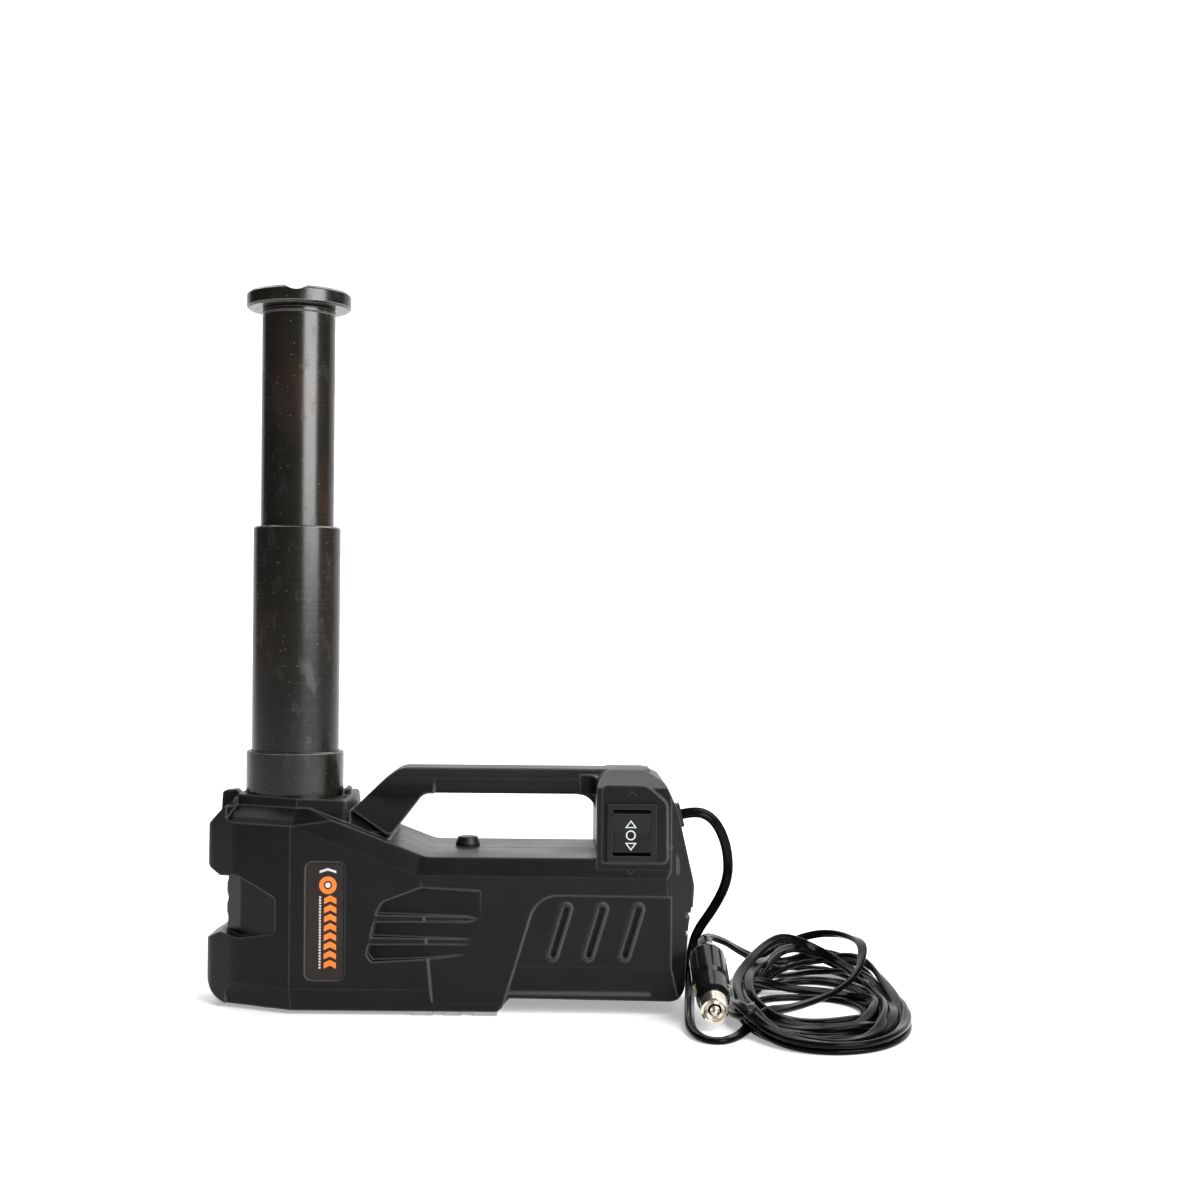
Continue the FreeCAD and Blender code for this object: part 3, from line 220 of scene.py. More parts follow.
def make_materials():
    """One material for each slot of the record, and a few for printed details."""
    mats = {
        # the case's edges get a painted highlight: a pale colour mixed in along them
        "case_plastic": surface("case_plastic", (0.0050, 0.0054, 0.0048), 0.36, grain=1700,
                                bump=0.22, edge=0.0018, edge_highlight=0.36,
                                edge_highlight_colour=(0.22, 0.225, 0.215), specular=0.14),
        "label_print": surface("label_print", (0.011, 0.0065, 0.005), 0.34, grain=600, bump=0.05,
                               specular=0.3),
        "zinc_screws": surface("zinc_screws", (0.56, 0.57, 0.55), 0.32, 1.0, grain=700),
        "black_screws": surface("black_screws", (0.03, 0.03, 0.03), 0.4, 0.6, grain=900),
        "plate_steel": surface("plate_steel", (0.42, 0.42, 0.41), 0.38, 1.0, grain=500,
                               stretch=(1, 12, 1)),
        "cast_block": surface("cast_block", (0.055, 0.056, 0.06), 0.55, 0.2, grain=420, bump=0.6,
                              edge=0.0008),
        "ram_steel": ram_steel("ram_steel", 0.22),
        "bronze_ring": surface("bronze_ring", (0.55, 0.38, 0.18), 0.36, 1.0, grain=800),
        "machined_steel": surface("machined_steel", (0.5, 0.5, 0.49), 0.3, 1.0, grain=900,
                                  stretch=(1, 1, 10)),
        "spring_steel": surface("spring_steel", (0.45, 0.45, 0.46), 0.25, 1.0, grain=900),
        "motor_steel": surface("motor_steel", (0.5, 0.51, 0.52), 0.35, 1.0, grain=700,
                               stretch=(8, 1, 1)),
        "gearbox_alloy": surface("gearbox_alloy", (0.55, 0.55, 0.55), 0.45, 0.9, grain=600,
                                 bump=0.4),
        "inner_plastic": surface("inner_plastic", (0.05, 0.05, 0.053), 0.5, bump=0.2),
        "tank_plastic": surface("tank_plastic", (0.62, 0.6, 0.5), 0.42, bump=0.15, edge=0.0008),
        "black_rubber": surface("black_rubber", (0.009, 0.009, 0.0095), 0.5, grain=1100, bump=0.25,
                                edge=0.0006, specular=0.3),
        # the switch's edges get a painted highlight: a pale colour mixed in along them
        "switch_plastic": surface("switch_plastic", (0.006, 0.006, 0.0063), 0.38, grain=2200,
                                  bump=0.18, edge=0.0004, edge_highlight=0.5, edge_highlight_colour=(0.12, 0.12, 0.12),
                                  specular=0.2),
        "terminal_brass": surface("terminal_brass", (0.7, 0.52, 0.25), 0.3, 1.0, grain=900),
        "board": surface("board", (0.02, 0.11, 0.05), 0.3, grain=500, tint=0.25),
        "relay_plastic": surface("relay_plastic", (0.015, 0.03, 0.08), 0.35),
        "lead_insulation": surface("lead_insulation", (0.32, 0.02, 0.02), 0.42),
        "cord_pvc": surface("cord_pvc", (0.0024, 0.0025, 0.0027), 0.17, grain=500, bump=0.10,
                            edge=0.0002, gloss_spread=0.04, specular=0.06),
        "plug_plastic": surface("plug_plastic", (0.0040, 0.0040, 0.0045), 0.16, grain=500,
                                bump=0.05, edge=0.0004, gloss_spread=0.04, specular=0.22),
        "nickel": surface("nickel", (0.72, 0.67, 0.58), 0.24, 1.0, grain=900, edge=0.0003),
        "contact_brass": surface("contact_brass", (0.36, 0.32, 0.25), 0.35, 0.9, grain=800),
        "fuse_glass": glass("fuse_glass"),
        "tie_plastic": surface("tie_plastic", (0.01, 0.01, 0.01), 0.35, grain=600, bump=0.2),
        "print_orange": surface("print_orange", (0.78, 0.17, 0.012), 0.4, tint=0.08, grain=900),
        "print_pale": surface("print_pale", (0.55, 0.56, 0.55), 0.45, tint=0.06, grain=900),
        "print_symbol": surface("print_symbol", (0.50, 0.53, 0.54), 0.45, tint=0.05, grain=900),
        "backdrop_paper": lit_paper("backdrop_paper"),
    }
    for part in frame["record"]["subparts"]:
        node = NODES[part["node"]]
        node.data.materials.clear()
        node.data.materials.append(mats[part["material_slot"]])
    return mats


MATERIALS = make_materials()


# ---------------------------------------------------------------- camera and stage
CAMERA_PLACE = (0.150, -1.027, 0.216)
CAMERA_ROLL = 0.5             # degrees
FOCAL_WIDTHS = 1.475          # focal length in picture widths
FLOOR_FRONT = -1.7            # front edge of the stage's floor (m)
CURVE_START = 2.2             # where the floor starts to curve up
CURVE_R = 0.8
CURVE_STEPS = 24


def make_camera():
    """Camera at the photograph's angle: level, about a metre away, with a slight roll."""
    data = bpy.data.cameras.new("camera")
    data.sensor_width = 36.0
    data.lens = data.sensor_width * FOCAL_WIDTHS
    data.shift_x = 0.0375
    data.shift_y = 0.0233
    data.clip_start = 0.05
    data.clip_end = 20.0
    camera = bpy.data.objects.new("camera", data)
    scene.collection.objects.link(camera)
    roll = Matrix.Rotation(math.radians(CAMERA_ROLL), 4, "Z")
    turn = Matrix.Rotation(math.radians(90), 4, "X") @ roll
    camera.matrix_world = Matrix.Translation(CAMERA_PLACE) @ turn
    scene.camera = camera


def make_stage():
    """Pale floor that curves up into a backdrop."""
    rows = []
    for step in range(CURVE_STEPS + 1):
        angle = math.radians(90 * step / CURVE_STEPS)
        rows.append((CURVE_START + CURVE_R * math.sin(angle), CURVE_R - CURVE_R * math.cos(angle)))
    rows = [(FLOOR_FRONT, 0.0)] + rows + [(CURVE_START + CURVE_R, 4.0)]
    verts = []
    faces = []
    for index, (y, z) in enumerate(rows):
        verts += [(-4.0, y, z), (4.5, y, z)]
        if index:
            k = 2 * index
            faces.append((k - 2, k - 1, k + 1, k))
    mesh = bpy.data.meshes.new("backdrop")
    mesh.from_pydata(verts, [], faces)
    mesh.polygons.foreach_set("use_smooth", [True] * len(faces))
    floor = bpy.data.objects.new("backdrop", mesh)
    scene.collection.objects.link(floor)
    mesh.materials.append(MATERIALS["backdrop_paper"])


def area_light(name, place, aim, size, size_y, watts):
    """White soft box that faces the point it is aimed at."""
    data = bpy.data.lights.new(name, "AREA")
    data.shape = "RECTANGLE"
    data.size = size
    data.size_y = size_y
    data.energy = watts
    light = bpy.data.objects.new(name, data)
    scene.collection.objects.link(light)
    light.location = place
    light.rotation_mode = "QUATERNION"
    light.rotation_quaternion = (Vector(aim) - Vector(place)).to_track_quat("-Z", "Y")


def make_lights():
    """Soft light from above and behind, a soft box at the right, a washed backdrop."""
    world = bpy.data.worlds.new("studio")
    scene.world = world
    world.use_nodes = True
    world.node_tree.nodes["Background"].inputs[0].default_value = (1, 1, 1, 1)
    world.node_tree.nodes["Background"].inputs[1].default_value = 0.05
    area_light("key_top", (0.15, 0.95, 1.85), (0.12, 0.20, 0.0), 2.4, 1.4, 30)
    area_light("softbox_right", (0.97, -0.94, 0.76), (0.0, 0.0, 0.32), 1.05, 0.95, 36)
    area_light("backdrop_wash", (0.1, 1.0, 2.2), (0.1, 2.6, 0.9), 2.4, 0.8, 30)
    scene.view_settings.view_transform = "Standard"


make_camera()
make_stage()
make_lights()


# ---------------------------------------------------------------- printed and raised details
# sizes and places in X and Z are in millimetres, as in the part's source
SIDE_STEPS = 6                # pieces along a side of an outlined triangle
RING_STEPS = 32
CHEVRON_STEPS = 5             # pieces along each arm
BLOCK_STEPS = 4               # pieces along each half
ROCKER_X = 192.9              # centre of the rocker's symbols
ROCKER_Z = 101.75
ROCKER_PITCH = 6.25           # from the ring to each triangle
LABEL_FIRST = 26.4            # foot of the lowest marks on the label
RING_PLACE = (25.6, 72.6)     # centre of the label's ring
PRINT_PROUD = 0.00004         # how far print stands off its surface (m)
PRINT_THICK = 0.0001


def on_surface(host, points, proud):
    """Puts (x, z) millimetre points onto the -Y face of a CAD node, standing proud of it."""
    tree = BVHTree.FromPolygons([v.co for v in host.data.vertices],
                                [p.vertices for p in host.data.polygons])
    placed = []
    for x, z in points:
        hit = tree.ray_cast(Vector((x * MM, -0.2, z * MM)), Vector((0, 1, 0)))[0]
        placed.append((x * MM, hit.y - proud, z * MM))
    return placed


def flat_piece(name, host, strips, proud, thick, body, material):
    """A thin raised piece made of strips; each strip is a pair of point rows in X and Z."""
    verts = []
    faces = []
    for inner, outer, closed in strips:
        first = len(verts)
        count = len(inner)
        verts += on_surface(host, inner, proud) + on_surface(host, outer, proud)
        for k in range(count if closed else count - 1):
            after = (k + 1) % count
            faces.append((first + k, first + after, first + count + after, first + count + k))
    mesh = bpy.data.meshes.new(name)
    mesh.from_pydata(verts, [], faces)
    fix = bmesh.new()
    fix.from_mesh(mesh)
    for face in fix.faces:
        face.normal_update()
        if face.normal.y > 0:
            face.normal_flip()
    fix.to_mesh(mesh)
    fix.free()
    thing = bpy.data.objects.new(name, mesh)
    scene.collection.objects.link(thing)
    depth = thing.modifiers.new("depth", "SOLIDIFY")
    depth.thickness = thick
    depth.offset = -1
    mesh.materials.append(MATERIALS[material])
    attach(thing, body)


def along(points, pieces):
    """Points spaced along a closed outline, the same number on every side."""
    spaced = []
    for k, (x, z) in enumerate(points):
        nx, nz = points[(k + 1) % len(points)]
        spaced += [(x + (nx - x) * j / pieces, z + (nz - z) * j / pieces) for j in range(pieces)]
    return spaced


def ring_band(x, z, radius, width):
    """Round stroke around a centre."""
    turn = [2 * math.pi * k / RING_STEPS for k in range(RING_STEPS)]
    rows = [[(x + r * math.cos(a), z + r * math.sin(a)) for a in turn]
            for r in (radius, radius - width)]
    return rows[0], rows[1], True


def triangle(x, z, half, tall, width):
    """Outlined triangle; a negative height points down."""
    tip = 1 if tall > 0 else -1
    base = z - tip * abs(tall) / 2
    outer = [(x - half, base), (x + half, base), (x, base + tall)]
    cut = width * tip
    inner = [(x - half + 2.1 * width, base + cut), (x + half - 2.1 * width, base + cut),
             (x, base + tall - 1.75 * cut)]
    return along(outer, SIDE_STEPS), along(inner, SIDE_STEPS), True


def chevron(x, z, half, drop, width):
    """Open V stroke; a positive drop points up."""
    count = CHEVRON_STEPS
    rows = []
    for shift in (0, -width if drop > 0 else width):
        row = [(x - half + half * k / count, z - drop + drop * k / count + shift)
               for k in range(count)]
        row += [(x + half * k / count, z - drop * k / count + shift) for k in range(count + 1)]
        rows.append(row)
    return rows[0], rows[1], False


def block(x0, x1, z0, z1, slant=0.0):
    """Filled block; slant lifts its middle into a pointed top and bottom."""
    count = BLOCK_STEPS
    xs = [x0 + (x1 - x0) * k / (2 * count) for k in range(2 * count + 1)]
    lift = [slant * (1 - abs(k - count) / count) for k in range(2 * count + 1)]
    return ([(x, z0 + up) for x, up in zip(xs, lift)], [(x, z1 + up) for x, up in zip(xs, lift)],
            False)


def make_details():
    """Symbols on the rocker, two marks on the switch pod, a generic print on the label."""
    rocker = NODES["switch_rocker"]
    marks = [triangle(ROCKER_X, ROCKER_Z + ROCKER_PITCH, 3.3, 4.4, 0.62),
             triangle(ROCKER_X, ROCKER_Z - ROCKER_PITCH, 3.3, -4.4, 0.62),
             ring_band(ROCKER_X, ROCKER_Z, 2.75, 0.72)]
    flat_piece("rocker_symbols", rocker, marks, 0.00005, PRINT_THICK, "rocker",
               "print_symbol")
    case = NODES["front_housing"]
    pod_marks = [chevron(193.6, 126.4, 2.6, 2.6, 0.9), chevron(192.8, 79.6, 2.6, -2.6, 0.9)]
    flat_piece("pod_chevrons", case, pod_marks, 0.0003, 0.0006, "case",
               "case_plastic")
    label = NODES["label_plate"]
    orange = [block(23.6, 30.4, LABEL_FIRST + 5.1 * k, 29.6 + 5.1 * k, 1.7) for k in range(8)]
    orange.append(ring_band(*RING_PLACE, 4.9, 2.6))
    pale = [block(20.8, 21.9, LABEL_FIRST + 1.62 * k, 27.5 + 1.62 * k) for k in range(25)]
    pale.append(ring_band(*RING_PLACE, 1.5, 1.45))
    pale.append(block(20.9, 30.2, 79.2, 80.6, 1.5))
    flat_piece("label_orange", label, orange, PRINT_PROUD, PRINT_THICK, "case",
               "print_orange")
    flat_piece("label_pale", label, pale, PRINT_PROUD, PRINT_THICK, "case",
               "print_pale")


make_details()


# ---------------------------------------------------------------- power cord
CORD_WIDTH = 0.006
CORD_THICK = 0.0033
# control points of the free stretch from the grommet to the floor and round the plug's tip (mm)
CORD_FREE = [(224.24, 0, 108.58), (232.02, 0, 110.46), (240.6, 0.8, 108.0), (247.0, 2, 100.3),
             (251.8, 4, 87.0), (252.6, 8, 70.0), (245.6, 16, 52.5), (234.4, 27.5, 34.0),
             (231.8, 23, 17.0), (230.6, 7, 6.8), (228.6, -16, 3.3), (226.6, -40, 3.2),
             (225.2, -62, 3.2), (223.4, -80, 3.0), (224.0, -98, 3.0)]
# from there over the hank's inner side and once round on top of it
CORD_OVER = [(227, -112, 2.5), (235, -119, 4), (243, -112, 10), (250, -94, 22), (261, -66, 40),
             (276, -42, 46), (292, -20, 46), (314, -4, 46), (330, 6, 48), (338, 24, 52),
             (342, 56, 58), (337, 80, 62), (324, 94, 64), (306, 98, 64), (288, 92, 62),
             (272, 76, 60), (259, 48, 60), (252, 12, 60), (250, -24, 60), (250, -56, 60),
             (252, -84, 60)]
# left, right, front and back extent of each turn (mm), and its place in the pile
HANK_TURNS = [(254, 338, -128, 84, 8), (251, 348, -136, 104, 9), (258, 332, -78, 10, 0),
              (255, 336, -100, 34, 2), (251, 346, -131, 88, 7), (257, 341, -70, 62, 1),
              (250, 349, -139, 116, 10), (259, 335, -90, 20, 3), (253, 344, -118, 98, 6),
              (256, 346, -96, 70, 4), (252, 342, -110, 108, 5)]
CORD_TO_PLUG = [(298, 96, 24), (280, 80, 22), (267, 57, 22), (258.5, 44.5, 27.5), (249.0, 31.5, 34),
                (239.39, 19.3, 35.55), (239.16, 7.56, 32.93)]
HANK_CENTRE = (296.0, -24.0)
HANK_LEAN = 0.03              # the hank's right side leans outwards towards the back
BACK_LEAN = 0.50              # its left side runs inwards towards the back
PLUG_REAR = np.array((238.8, -10.0, 29.0))
PLUG_TIP = np.array((237.0, -86.0, 12.0))
TURN_POINTS = 12
TURN_START = 20.0             # where on the oval a turn begins (degrees)
OVAL_POWER = 0.86             # under 1 makes the oval's ends fuller
TURN_MIX = 0.75               # share of a turn after which it runs over into the next one
PILE_FOOT = 3.0               # height of the lowest turn before it settles (mm)
PILE_STEP = 5.5               # and of each one above it
LINK = 6.0                    # spacing of the settling cord's points (mm)
SETTLE_STEPS = 240
LIE_WIDE = 5.4                # distance the settling cord keeps from itself sideways (mm)
LIE_THICK = 4.4               # and upwards
FLOOR_GAP = 1.9               # lowest the cord's line may lie (mm)
PULL_BACK = 0.10              # how strongly a point is drawn back over its first place
STIFFNESS = ((1, 0.30), (3, 0.12))    # reach in points, and strength, of the cord's smoothing
SIDE_GIVE = 0.35              # share of a push that moves the cord sideways
BACK_LIFT = 11.0              # extra height of the pile where the hank's back stands up (mm)
BACK_X = 316.0


def hank_guide():
    """Control points of the whole cord before it settles, one oval turn after another."""
    points = [np.array(p, float) for p in CORD_FREE + CORD_OVER]
    last = len(HANK_TURNS) - 1
    for k in range((last + 1) * TURN_POINTS - 2):
        turn, part = divmod(k, TURN_POINTS)
        share = part / TURN_POINTS
        here = HANK_TURNS[turn]
        following = HANK_TURNS[min(turn + 1, last)]
        mix = max(0.0, (share - TURN_MIX) / (1 - TURN_MIX))
        mix = mix * mix * (3 - 2 * mix)
        left, right, front, back, order = [(1 - mix) * p + mix * q for p, q in zip(here, following)]
        angle = 2 * math.pi * share + math.radians(TURN_START)
        c, s = math.cos(angle), math.sin(angle)
        reach_x = HANK_CENTRE[0] - left if c > 0 else right - HANK_CENTRE[0]
        reach_y = HANK_CENTRE[1] - front if s > 0 else back - HANK_CENTRE[1]
        x = HANK_CENTRE[0] - reach_x * math.copysign(abs(c) ** OVAL_POWER, c)
        y = HANK_CENTRE[1] - reach_y * math.copysign(abs(s) ** OVAL_POWER, s)
        x += HANK_LEAN * (y - HANK_CENTRE[1])
        x += BACK_LEAN * max(0.0, y - 12) * max(0.0, min(1.0, (HANK_CENTRE[0] + 30 - x) / 60))
        points.append(np.array((x, y, PILE_FOOT + PILE_STEP * order)))
    points += [np.array(p, float) for p in CORD_TO_PLUG]
    return np.array(points)


def even_points(points, step):
    """Points at even spacing along the quadratic spline of these control points."""
    dense = [points[0]]
    for i in range(1, len(points) - 1):
        start = (points[i - 1] + points[i]) / 2 if i > 1 else points[0]
        end = (points[i] + points[i + 1]) / 2 if i < len(points) - 2 else points[-1]
        for u in np.linspace(0, 1, 12)[1:]:
            dense.append((1 - u) ** 2 * start + 2 * u * (1 - u) * points[i] + u * u * end)
    dense = np.array(dense)
    run = np.r_[0, np.cumsum(np.linalg.norm(np.diff(dense, axis=0), axis=1))]
    where = np.linspace(0, run[-1], int(round(run[-1] / step)) + 1)
    return np.stack([np.interp(where, run, dense[:, k]) for k in range(3)], 1)


def settle(p, free):
    """Lets the cord's points fall onto the floor and each other while they keep their spacing."""
    target = p.copy()
    count = len(p)
    index = np.arange(count)
    rough = np.array((LIE_WIDE, LIE_WIDE, LIE_THICK))
    weight = np.where(free, 1.0, 0.0)
    axis = PLUG_TIP - PLUG_REAR
    length = np.linalg.norm(axis)
    axis = axis / length
    for it in range(SETTLE_STEPS):
        p[free, 2] -= 0.6 * (1 - it / SETTLE_STEPS) + 0.05
        p[free, :2] += PULL_BACK * (target[free, :2] - p[free, :2])
        for reach, k in STIFFNESS:
            move = np.zeros_like(p)
            move[reach:-reach] = ((p[:-2 * reach] + p[2 * reach:]) / 2 - p[reach:-reach]) * k
            p += move * weight[:, None]
        if it % 6 == 0:
            q = p / rough
            apart = ((q[:, None, :] - q[None, :, :]) ** 2).sum(2)
            i, j = np.nonzero((apart < 6.0) & (index[None, :] > index[:, None] + 4))
        lift = np.clip(p[:, 1] / 70, 0, 1) * np.exp(-((p[:, 0] - BACK_X) / 50) ** 2)
        tall = LIE_THICK + BACK_LIFT * lift
        side = np.full(len(i), LIE_WIDE)
        pair = np.stack([side, side, (tall[i] + tall[j]) / 2], 1)
        for _ in range(5):
            d = (p[i] - p[j]) / pair
            dist = np.sqrt((d * d).sum(1)) + 1e-6
            depth = np.maximum(0, 1 - dist)
            give = np.array((SIDE_GIVE, SIDE_GIVE, 1.0))
            push = d / dist[:, None] * depth[:, None] * 0.5 * pair * give
            move = np.zeros_like(p)
            hits = np.zeros(count)
            np.add.at(move, i, push)
            np.add.at(move, j, -push)
            np.add.at(hits, i, depth > 0)
            np.add.at(hits, j, depth > 0)
            p += move / np.maximum(1, hits * 0.5)[:, None] * weight[:, None]
            rel = p - PLUG_REAR
            along = rel @ axis
            away = rel - np.clip(along, 0, length - 8)[:, None] * axis
            out = np.linalg.norm(away, axis=1)
            # the plug gets thinner from its grip to its nose
            limit = np.where(along > 62, 9.7, np.where(along > 38, 11.4, 12.6))
            inside = (out < limit) & free & (along > -4)
            p[inside] += away[inside] / out[inside, None] * (limit - out)[inside, None]
            p[:, 2] = np.where(free, np.maximum(p[:, 2], FLOOR_GAP), p[:, 2])
        for _ in range(6):
            for start in (0, 1):
                a = index[start:-1:2]
                b = a + 1
                step = p[b] - p[a]
                long = np.linalg.norm(step, axis=1)
                total = np.maximum(weight[a] + weight[b], 1e-9)
                fix = step / long[:, None] * ((long - LINK) / total)[:, None]
                p[a] += fix * weight[a][:, None]
                p[b] -= fix * weight[b][:, None]
    for _ in range(6):
        move = np.zeros_like(p)
        move[1:-1] = (p[:-2] + p[2:]) / 2 - p[1:-1]
        p += 0.5 * move * weight[:, None]
        p[:, 2] = np.where(free, np.maximum(p[:, 2], FLOOR_GAP), p[:, 2])
    return p


def cord_route():
    """Control points of the cord's spline (mm): free stretch, settled turns, the plug's end."""
    line = even_points(hank_guide(), LINK)
    floor_end = int(np.argmin(np.linalg.norm(line[:120] - np.array(CORD_FREE[-2]), axis=1)))
    free = np.ones(len(line), bool)
    free[:floor_end] = False
    free[-5:] = False
    line = settle(line, free)
    kept = [tuple(p) for p in CORD_FREE[:-2]]
    kept += [tuple(p) for p in line[floor_end:-5:2]]
    kept += [CORD_TO_PLUG[-2], CORD_TO_PLUG[-1]]
    return kept


def nurbs_line(name, points):
    """The spline's own line, sampled: points along it in metres."""
    data = bpy.data.curves.new(name, "CURVE")
    data.dimensions = "3D"
    data.resolution_u = 5
    spline = data.splines.new("NURBS")
    spline.points.add(len(points) - 1)
    for point, place in zip(spline.points, points):
        point.co = (*[v * MM for v in place], 1)
    spline.order_u = 3
    spline.use_endpoint_u = True
    curve = bpy.data.objects.new(name, data)
    scene.collection.objects.link(curve)
    mesh = bpy.data.meshes.new_from_object(curve)
    line = np.array([v.co for v in mesh.vertices])
    bpy.data.objects.remove(curve)
    bpy.data.meshes.remove(mesh)
    return line


def even_line(line, step):
    """The same line with points at even spacing, and its length."""
    run = np.r_[0, np.cumsum(np.linalg.norm(np.diff(line, axis=0), axis=1))]
    where = np.linspace(0, run[-1], int(run[-1] / step) + 1)
    return np.stack([np.interp(where, run, line[:, k]) for k in range(3)], 1), run[-1]


def twin_section():
    """Figure-of-eight section of a flat twin cord: (across, up) points in metres."""
    r = CORD_THICK / 2
    centre = CORD_WIDTH / 2 - r
    points = []
    for side in (1, -1):
        for k in range(9):
            angle = math.radians(-112 + 28 * k)
            points.append((side * (centre + r * math.cos(angle)), side * r * math.sin(angle)))
    return points


def ribbon_mesh(name, line, section, up_at):
    """Sweeps a section along a line; up_at gives the section's up direction at each point."""
    count = len(line)
    tangent = np.gradient(line, axis=0)
    tangent /= np.linalg.norm(tangent, axis=1)[:, None]
    verts = []
    for k in range(count):
        up = up_at[k] - tangent[k] * float(up_at[k] @ tangent[k])
        up /= np.linalg.norm(up)
        across = np.cross(tangent[k], up)
        for a, b in section:
            verts.append(line[k] + across * a + up * b)
    n = len(section)
    faces = []
    for k in range(count - 1):
        for m in range(n):
            after = (m + 1) % n
            faces.append((k * n + m, k * n + after, (k + 1) * n + after, (k + 1) * n + m))
    faces.append(tuple(range(n))[::-1])
    faces.append(tuple((count - 1) * n + m for m in range(n)))
    mesh = bpy.data.meshes.new(name)
    mesh.from_pydata([tuple(v) for v in verts], [], faces)
    mesh.validate()
    mesh.polygons.foreach_set("use_smooth", [True] * len(mesh.polygons))
    fix = bmesh.new()
    fix.from_mesh(mesh)
    bmesh.ops.recalc_face_normals(fix, faces=fix.faces)
    fix.to_mesh(mesh)
    fix.free()
    thing = bpy.data.objects.new(name, mesh)
    scene.collection.objects.link(thing)
    return thing


TIE_PLACE = Vector((0.255, -0.090, 0.0))      # a point on the tie's plane
TIE_ALONG = Vector((0.156, 0.988, 0.0))       # the tie crosses the bundle in this direction
TIE_REACH = (-0.052, 0.034)                   # how far the bundle reaches along it
TIE_HIGHEST = 0.05                            # strands above this aren't tied
TIE_WIDTH = 0.0024
TIE_THICK = 0.0009
TIE_LOCK = (0.0044, 0.0046, 0.0030)


def hull(points):
    """Convex outline of 2-D points, anticlockwise."""
    points = sorted(set(points))
    chains = []
    for row in (points, points[::-1]):
        chain = []
        for p in row:
            while len(chain) > 1 and ((chain[-1][0] - chain[-2][0]) * (p[1] - chain[-2][1]) -
                                      (chain[-1][1] - chain[-2][1]) * (p[0] - chain[-2][0])) <= 0:
                chain.pop()
            chain.append(p)
        chains += chain[:-1]
    return chains


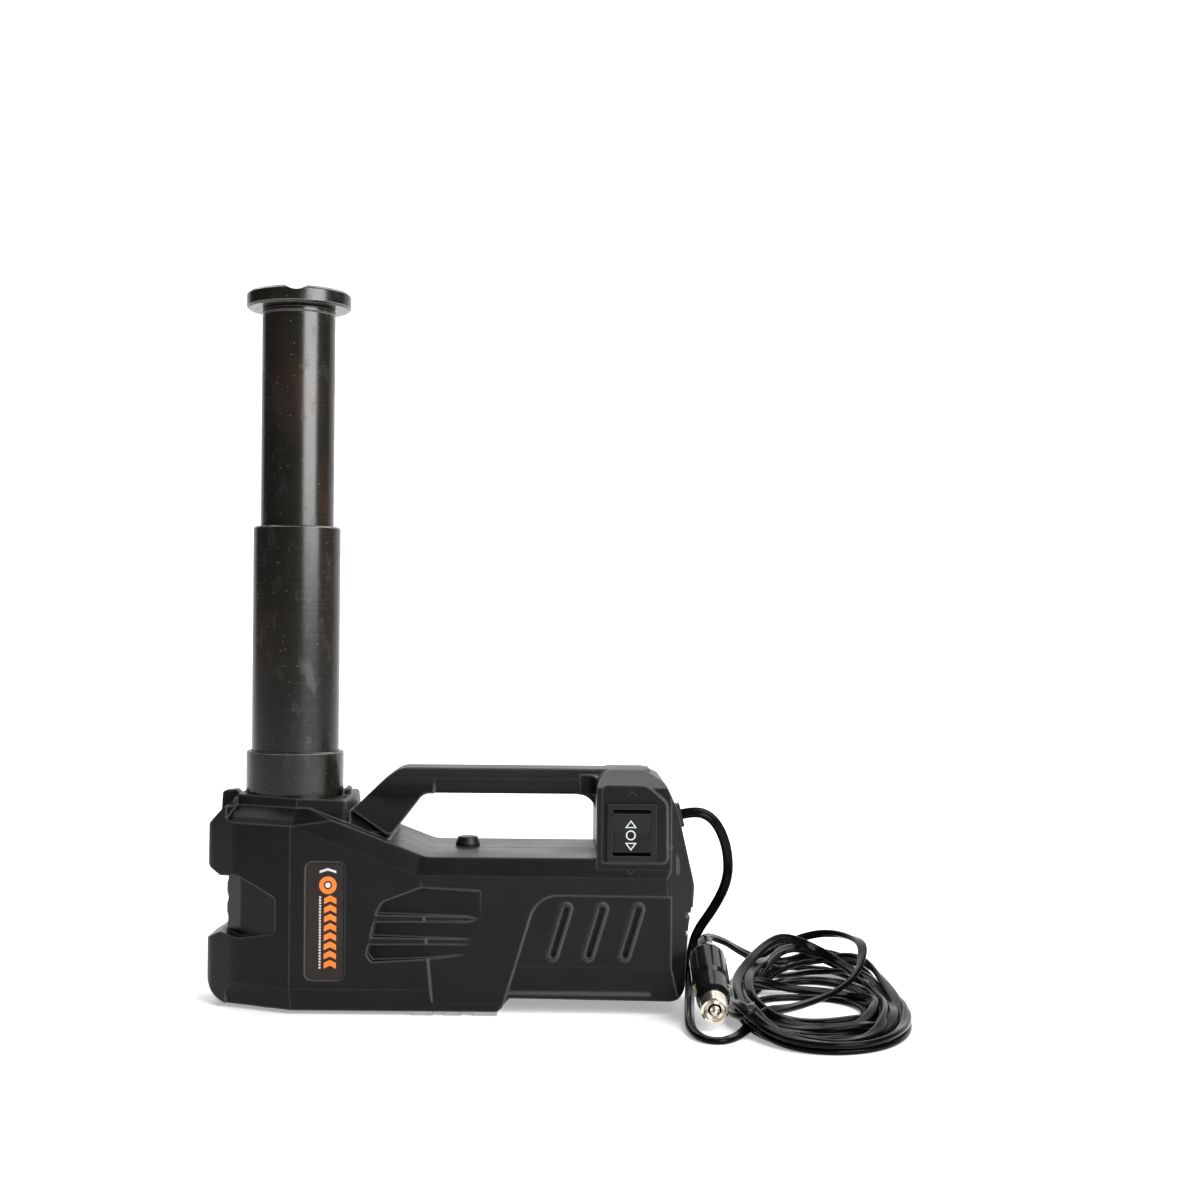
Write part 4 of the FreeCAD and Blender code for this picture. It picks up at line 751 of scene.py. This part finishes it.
def make_tie(line):
    """Band drawn round the strands that cross the tie's plane, with its lock on top."""
    across = TIE_ALONG.cross(Vector((0, 0, 1)))
    outline = []
    for here, after in zip(line[:-1], line[1:]):
        a = Vector(here) - TIE_PLACE
        b = Vector(after) - TIE_PLACE
        if a.dot(across) * b.dot(across) > 0:
            continue
        if TIE_REACH[0] < a.dot(TIE_ALONG) < TIE_REACH[1] and a.z < TIE_HIGHEST:
            for k in range(16):
                turn = 2 * math.pi * k / 16
                outline.append((a.dot(TIE_ALONG) + 0.0028 * math.cos(turn),
                                max(TIE_THICK, a.z + 0.0024 * math.sin(turn))))
    loop = hull(outline)
    verts = []
    count = len(loop)
    for side in (-0.5, 0.5):
        for grow in (0.0, TIE_THICK):
            for k, (a, z) in enumerate(loop):
                before, following = loop[k - 1], loop[(k + 1) % count]
                out = Vector((following[1] - before[1], before[0] - following[0])).normalized()
                spot = TIE_PLACE + TIE_ALONG * (a + out.x * grow) + across * (side * TIE_WIDTH)
                verts.append((spot.x, spot.y, max(0.0001, z + out.y * grow)))
    faces = []
    inner_left, outer_left, inner_right, outer_right = [count * row for row in range(4)]
    for k in range(count):
        m = (k + 1) % count
        faces += [(inner_left + k, inner_left + m, inner_right + m, inner_right + k),
                  (outer_left + k, outer_right + k, outer_right + m, outer_left + m),
                  (inner_left + k, outer_left + k, outer_left + m, inner_left + m),
                  (inner_right + k, inner_right + m, outer_right + m, outer_right + k)]
    mesh = bpy.data.meshes.new("cord_tie_band")
    mesh.from_pydata(verts, [], faces)
    band_mesh = bmesh.new()
    band_mesh.from_mesh(mesh)
    top = max(range(count), key=lambda k: loop[k][1])
    head = TIE_PLACE + TIE_ALONG * (loop[top][0] + 0.002) + Vector((0, 0, loop[top][1] + 0.001))
    frame_turn = Matrix((across, TIE_ALONG, Vector((0, 0, 1)))).transposed().to_4x4()
    lock = bmesh.ops.create_cube(band_mesh, size=1.0, matrix=Matrix.Translation(head) @ frame_turn @
                                 Matrix.Diagonal((*TIE_LOCK, 1)))
    edges = list({edge for vert in lock["verts"] for edge in vert.link_edges})
    bmesh.ops.bevel(band_mesh, geom=edges, offset=0.0006, segments=2, affect="EDGES")
    bmesh.ops.recalc_face_normals(band_mesh, faces=band_mesh.faces)
    band_mesh.to_mesh(mesh)
    band_mesh.free()
    tie = bpy.data.objects.new("cord_tie_band", mesh)
    scene.collection.objects.link(tie)
    mesh.materials.append(MATERIALS["tie_plastic"])
    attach(tie, "case")
    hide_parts("cord_tie")
    return tie


EDGE_RUN = 0.09               # the cord hangs on edge for this length (m)
TWIST_RUN = 0.05              # and turns onto its flat side over this one
PILE_LEAN = 0.8               # how far strands that lie on others lean towards the front
LINE_STEP = 0.0025            # spacing of the swept sections


def make_cord():
    """The flat cord: it leaves the case on edge, lies flat, and leans in the pile."""
    line, total = even_line(nurbs_line("cord_line", cord_route()), LINE_STEP)
    print("cord length", round(total, 3))
    count = len(line)
    run = np.linspace(0, total, count)
    lying = np.clip((run - EDGE_RUN) / TWIST_RUN, 0, 1)[:, None]
    end = np.clip((total - run) / 0.05, 0, 1)
    lean = PILE_LEAN * np.clip((line[:, 2:] - 0.004) / 0.006, 0, 1)
    up = (1 - lying) * np.array((0.25, -1.0, 0.1)) + lying * np.array((0, 0, 1.0))
    up = up - lying * lean * np.array((0, 1.0, 0))
    tangent = np.gradient(line, axis=0)
    tangent /= np.linalg.norm(tangent, axis=1)[:, None]
    across = np.cross(tangent, up)
    random.seed(7)
    waves = [(random.uniform(9, 55), random.uniform(0, 6.28), random.uniform(0.25, 0.7))
             for _ in range(7)]
    roll = sum(size * np.sin(rate * run + shift) for rate, shift, size in waves)
    roll = roll * lying[:, 0] * end * np.clip(line[:, 2] / 0.008 - 0.2, 0.04, 0.8)
    up_at = up * np.cos(roll)[:, None] + across * np.sin(roll)[:, None]
    cord = ribbon_mesh("power_cord_twin", line, twin_section(), up_at)
    cord.data.materials.append(MATERIALS["cord_pvc"])
    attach(cord, "case")
    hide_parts("power_cord", "cord_coil", "cord_tail")
    plug = [NODES[n] for n in ("plug_body", "plug_nose_ring", "plug_tip_contact",
                               "plug_side_contacts", "plug_fuse")]
    plug.append(make_tie(line))


make_cord()
